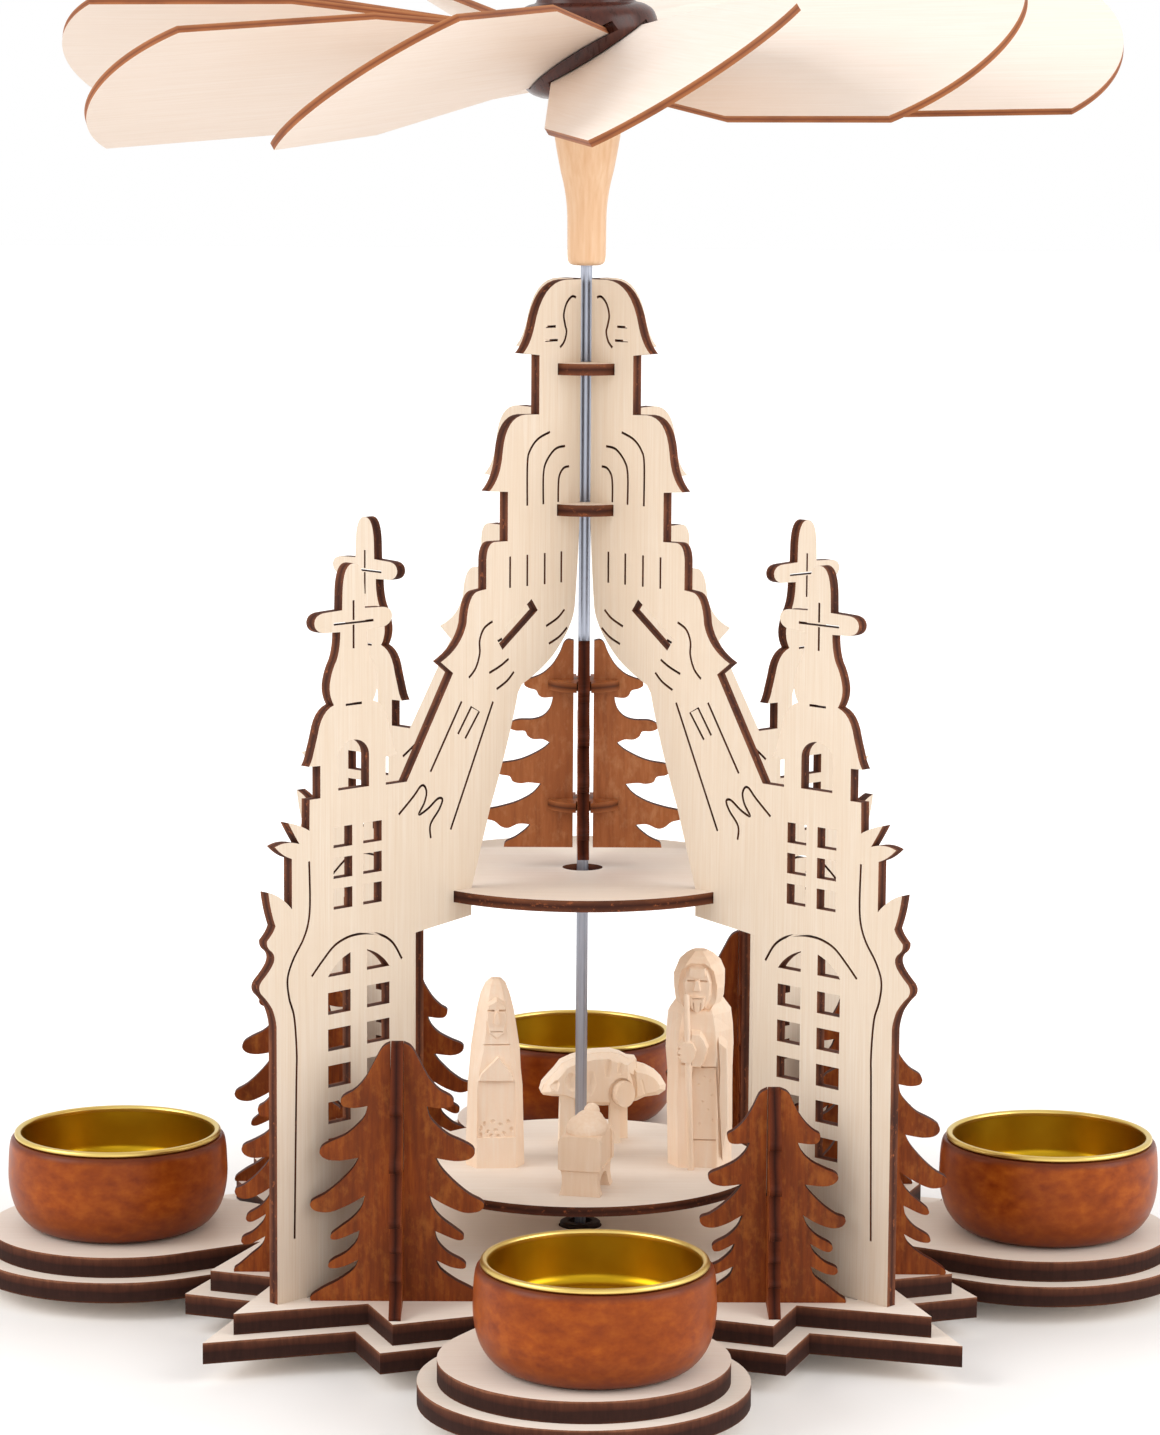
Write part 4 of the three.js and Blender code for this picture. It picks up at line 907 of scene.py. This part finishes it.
def make_staff_bearer():
    blank = loft([
        (0, 6.55, 6.4, 0.62, 0.4), (8, 6.6, 6.35, 0.62, 0.4), (14, 6.65, 6.35, 0.62, 0.38),
        (20, 6.7, 6.4, 0.6, 0.35), (25, 6.85, 6.3, 0.58, 0.32), (29, 6.8, 6, 0.55, 0.3),
        (32.6, 6.4, 5.4, 0.5, 0.3), (35.2, 4.6, 4.4, 0.5, 0.3), (36, 3.5, 3.5, 0.5, 0.3),
    ])
    hood = loft([
        (33.4, 4.2, 4.4, 0.6, 0.4), (35.4, 4.9, 4.9, 0.62, 0.4), (38, 5.15, 5.2, 0.66, 0.45),
        (40.8, 5.15, 5.1, 0.62, 0.45), (43, 4.3, 4.4, 0.58, 0.4), (44.5, 2.8, 3, 0.5, 0.4),
        (45.3, 1.5, 1.7, 0.5, 0.4),
    ])
    sleeve = [(-1.6, 30.2), (0.7, 30), (1.9, 28.4), (2.8, 26.2), (1.9, 22.8), (1, 20.6), (-1.4, 20.7),
              (-2.6, 25)]
    fist = [(-4.3, 26.8), (-3, 28.3), (-0.4, 27.9), (0.6, 25.8), (-0.1, 23.2), (-1.3, 21.9), (-3.5, 22.4),
            (-4.6, 24.4)]
    wrist = [(-3.4, 22.4), (-0.7, 22.4), (-0.9, 20.7), (-3.2, 20.7)]
    cloak_edge = [(4.3, 28.6), (6.2, 27), (6.4, 8), (5.2, 1), (4.5, 14), (4.7, 22)]
    added = [hood, prism(sleeve, -4, -8.2, 0.7), prism(fist, -5, -9, 0.72),
             prism(wrist, -5, -8.2, 0.9), prism(cloak_edge, -4.6, -6.2, 0.86)]
    hood_opening = [(-3.9, 35), (-2.4, 33.4), (2.2, 33.4), (3.7, 35), (3.9, 38.5), (3.2, 41.6), (1.4, 43.1),
                    (-1.6, 43.1), (-3.4, 41.6), (-4.1, 38.5)]
    robe_front = [(-1.7, -1), (3.8, -1), (3.9, 21.3), (2.6, 21.6), (-1.6, 20.6)]
    cloak_fold = [(4.9, -1), (5.15, -1), (4.3, 20), (4.1, 24), (3.9, 20)]
    fingers = [
        [(-4.5, 26.1), (-3.3, 26.2), (-3.4, 25.75), (-4.6, 25.6)],
        [(-4.6, 24.9), (-3.3, 24.9), (-3.4, 24.45), (-4.6, 24.4)],
        [(-4.4, 23.7), (-3.2, 23.7), (-3.3, 23.3), (-4.3, 23.2)],
    ]
    cuts = [prism(hood_opening, -3.7, -7.5, 1.12), prism(robe_front, -9, -5.85),
            groove(-1.7, 3.9, 5.9, -5.85, 0.6, 0.45), groove(0.8, 4.2, 21.5, -6.3, 0.7, 0.5),
            prism(cloak_fold, -9, -5.5)] + [prism(finger, -10, -7.4) for finger in fingers]
    # wide hollows on the shoulders and the hood, then small knife marks on the robe
    cuts += [
        lump((-5.6, -6.6, 31.2), (2.2, 2.4, 3), (0, 20, 0), 1),
        lump((5.2, -6.4, 31.4), (2, 2.2, 3.2), (0, -22, 0), 1),
        lump((-3.6, -6.7, 43.6), (2.6, 2.8, 1.8), (0, -24, 0), 1),
        lump((2.6, -6.6, 44.2), (2.8, 2.8, 1.6), (0, 16, 0), 1),
    ]
    for x, z in ((0.2, 17.8), (1.4, 19.4), (2.6, 18.6), (1, 14.2), (3.1, 15.6), (2.2, 12.4),
                 (3.2, 10.2), (0.4, 9.4)):
        cuts.append(lump((x, -6.1, z), (0.5, 0.5, 0.4), (0, 40 * x, 0), 1))
    bearer = carve("carved_staff_bearer", blank, added, cuts)
    face = [(-3.2, 36.2), (-2, 33.2), (-0.1, 32.3), (1.8, 33.2), (3, 36.2), (3.2, 39.4), (2.2, 42.4),
            (0.6, 43), (-0.8, 43), (-2.4, 42.4), (-3.4, 39.4)]
    beard = [(-2, 36.6), (1.8, 36.6), (1.3, 33.7), (-0.1, 32.7), (-1.5, 33.7)]
    nose = [(-0.5, 40.2), (0.3, 40.2), (0.85, 37.3), (-1.05, 37.3)]
    brow = [(-1.9, 42.4), (1.7, 42.4), (1.9, 40.7), (0.4, 40.2), (-0.6, 40.2), (-2.1, 40.7)]
    eyes_and_mouth = [groove(-2.2, -0.65, 39.6, -5.2, 0.7, 0.5), groove(0.45, 2, 39.6, -5.2, 0.7, 0.5),
                      groove(-1.2, 1, 36, -5.9, 0.5, 0.28)]
    beard_lines = [prism([(-1, 35.2), (-0.8, 35.2), (-0.6, 33), (-0.8, 33)], -7, -5.6),
                   prism([(0.8, 35.2), (0.6, 35.2), (0.4, 33), (0.6, 33)], -7, -5.6)]
    head = carve("carved_bearded_face", prism(face, -3.2, -5.2, 0.78), [
        prism(beard, -4, -6, 0.82), prism(nose, -4, -6.2, 0.72), prism(brow, -4, -5.7, 0.84),
    ], eyes_and_mouth + beard_lines, 0.11)
    rod = [(0, 0), (0.62, 0), (0.7, 0.15), (0.68, 12), (0.72, 20), (0.66, 30), (0.62, 37.1), (0.4, 37.4),
           (0, 37.4)]
    staff = lathe("carved_staff", rod, "lime", 9)
    # the whole figure leans a little to its right, from the foot up
    lean = Matrix.Identity(4)
    lean[0][2] = -0.0095
    for part in (bearer, head, staff):
        part.data.transform(lean)
    where = spot((25.05, 0.8, DISC_TOP), (0, 0, -6))
    place(bearer, where, "rotor", "carved_wood", "figure_staff_bearer")
    place(head, where, "rotor", "carved_wood")
    place(staff, where @ spot((-1.25, -8.1, 0), (0, -1.4, 0)), "rotor", "carved_wood")


def make_animal():
    side = [(-13.3, 11.1), (-12.8, 12.8), (-11.4, 14.4), (-10.2, 15.7), (-8.9, 17.4), (-6.5, 18.5),
            (-4.1, 19.1), (-1.7, 19.6), (1.7, 19.7), (3.8, 19.1), (5.5, 18.2), (7.2, 18), (7.6, 10),
            (5.4, 8.2), (0, 8), (-4.6, 8.3), (-9.2, 10.2), (-10.9, 10.3), (-12.8, 10.6)]
    head = [(5.2, 17.4), (7.4, 16.9), (9.2, 16.4), (11.3, 15.2), (12.8, 13.7), (13.8, 12), (13.7, 10.8),
            (12.3, 9.8), (9.2, 9.4), (7.5, 8.6), (5.6, 8.2)]
    added = [prism(side, -2, -4.4, 0.8), prism(side, 2, 4.4, 0.8), prism(head, -0.7, 0.7),
             prism(head, -0.6, -3.2, 0.58), prism(head, 0.6, 3.2, 0.58)]
    for x, y, w in ((-7.8, -2.2, 1.65), (-5.6, 2.3, 1.7), (2.5, -2.2, 1.15), (4.7, 2.3, 1.1)):
        added.append(prism(rectangle(x - w, y - 1.5, x + w, y + 1.5), 0, 12, 0.88, across="z"))
    cheek_line = [(5.6, 15.4), (6.7, 14.6), (7.3, 12.4), (6.9, 9.4), (6.3, 9), (6.5, 11.4), (6.2, 13.6)]
    cuts = [
        lump((-7, -5.7, 13.8), (1.9, 2, 3), (0, -8, 0)),
        lump((-3, -6.2, 13.4), (2.1, 2.4, 4.8), (0, 4, 0)),
        lump((0.9, -6.2, 16.6), (1.3, 2.5, 3.6), (0, 3, 0)),
        lump((3.6, -6.2, 17), (1.3, 2.5, 3), (0, 8, 0)),
        lump((-10.8, -5.4, 13.2), (2, 2, 2), (0, 30, 0), 1),
        prism(cheek_line, -7, -2.5),
        prism(arc(3.8, 10.9, 2.9, 3.6, 0, 342, 19), -8, -3.4),
        lump((12.1, -2.2, 11.5), (0.45, 0.6, 0.4), (0, 0, 0), 1),
        lump((8.6, -4.9, 12.2), (1.5, 2.2, 3.4), (0, -28, 0), 1),
    ]
    # the animal is in the limewood painted paler: painted light
    animal = carve("carved_grazing_animal", prism(side, -2.2, 2.2), added, cuts, 0.1, "lime_painted_lit")
    horn = prism(arc(0, 0, 2.35, 3.05, 0, 342, 19), 1.4, -1.9, 0.92)
    horn.transform(spot((4, -3.5, 11), (0, 0, 18)))
    shape(animal, [horn], [])
    place(animal, spot((4.6, 19, DISC_TOP), (0, 0, 6)), "rotor", "carved_wood", "figure_animal")


def make_manger():
    end = mirrored([(4.3, 0), (3.95, 1), (3.7, 2.6), (3.75, 4.2), (3.95, 5.2), (4.45, 5.5), (4.45, 11.2),
                    (4.2, 11.9), (3.6, 12.3), (2, 12.45)])
    between_feet = [(-3.9, -1), (3.9, -1), (3.6, 2.2), (2.6, 3.4), (0, 3.9), (-2.6, 3.4), (-3.6, 2.2)]
    end_face = [(-4.9, 5.6), (4.9, 5.6), (4.6, 13.5), (-4.6, 13.5)]
    foot_side = [(-8, -1), (-6.45, -1), (-6.3, 5.1), (-6.75, 5.35), (-8, 5.35)]
    top_corners = [[(8 * side, 10.6), (6.2 * side, 13.5), (8 * side, 13.5)] for side in (-1, 1)]
    cuts = [prism(cut, -6, 6, across="x") for cut in (between_feet, *top_corners, foot_side)]
    cuts += [prism(end_face, near, far, across="x") for near, far in ((4.1, 6), (-6, -4.1))]
    where = spot((0.9, -23.2, DISC_TOP), (0, 0, -12.4))
    # the manger and the child are in the limewood painted darker: painted shade
    manger = carve("carved_manger", prism(end, -6.75, 6.75), [], cuts, 0.24, "lime_painted_shade")
    place(manger, where, "rotor", "carved_wood", "manger")
    blanket = lump((0.3, -0.6, 13.1), (4.3, 5.6, 2.7), (6, 0, 0), 3)
    chest = lump((0.3, 1.3, 14.3), (3, 3.6, 1.9), (8, 0, 0), 3)
    head = lump((0.4, 3.6, 15.6), (1.65, 1.55, 1.7), fine=3)
    nose = lump((0.4, 2.2, 16.1), (0.35, 0.4, 0.3), fine=1)
    child = carve("carved_child", blanket, [chest, head, nose], [
        lump((-3.6, -6.4, 16.4), (3.2, 3.8, 2.9), (0, 12, 0)),
        lump((3.2, -6.8, 16), (2.6, 3.6, 2.4), (0, -10, 0)),
        lump((-3.9, 1.2, 16.4), (2.4, 3.8, 1.9), (0, 0, 12)),
        lump((-0.2, 2.15, 16.5), (0.25, 0.25, 0.13), fine=1),
        lump((1, 2.15, 16.5), (0.25, 0.25, 0.13), fine=1),
    ], 0.1, "lime_painted_shade")
    place(child, where, "rotor", "carved_wood", "figure_child")


def make_stage():
    """Pale floor, even daylight and three soft lamps."""
    reach = 6
    mesh = bpy.data.meshes.new("floor")
    mesh.from_pydata([(x, y, 0) for x, y in rectangle(-reach, -reach, reach, reach)], [], [(0, 1, 2, 3)])
    to_object("floor", mesh, "floor")
    world = bpy.data.worlds.new("studio")
    bpy.context.scene.world = world
    world.use_nodes = True
    tree = world.node_tree
    sky = tree.nodes["Background"].inputs
    sky["Color"].default_value = colour("ffffff")
    strength = node(tree, "MapRange", {"Value": seen_directly(tree), "To Min": 0.82, "To Max": 1})
    tree.links.new(strength.outputs[0], sky["Strength"])
    lit_spot = Vector((0, 0, 0.1))
    lamps = {"left_softbox": ((-1.6, -0.65, 1.1), 1.3, 20), "right_softbox": ((1.6, -0.65, 0.9), 1.3, 17),
             "front_fill": ((0.2, -1.6, 0.45), 1, 2)}
    for name, (at, size, power) in lamps.items():
        data = bpy.data.lights.new(name, "AREA")
        data.energy, data.size = power, size
        lamp = bpy.data.objects.new(name, data)
        lamp.location = at
        lamp.rotation_euler = (lit_spot - Vector(at)).to_track_quat("-Z", "Y").to_euler()
        bpy.context.scene.collection.objects.link(lamp)
    bpy.context.scene.view_settings.view_transform = "Standard"


for make in (make_camera, make_base, make_walls, make_guides_and_platform, make_trees, make_crown,
             make_holders, make_shaft, make_hub, make_blades, make_woman, make_staff_bearer, make_animal,
             make_manger, make_stage):
    make()
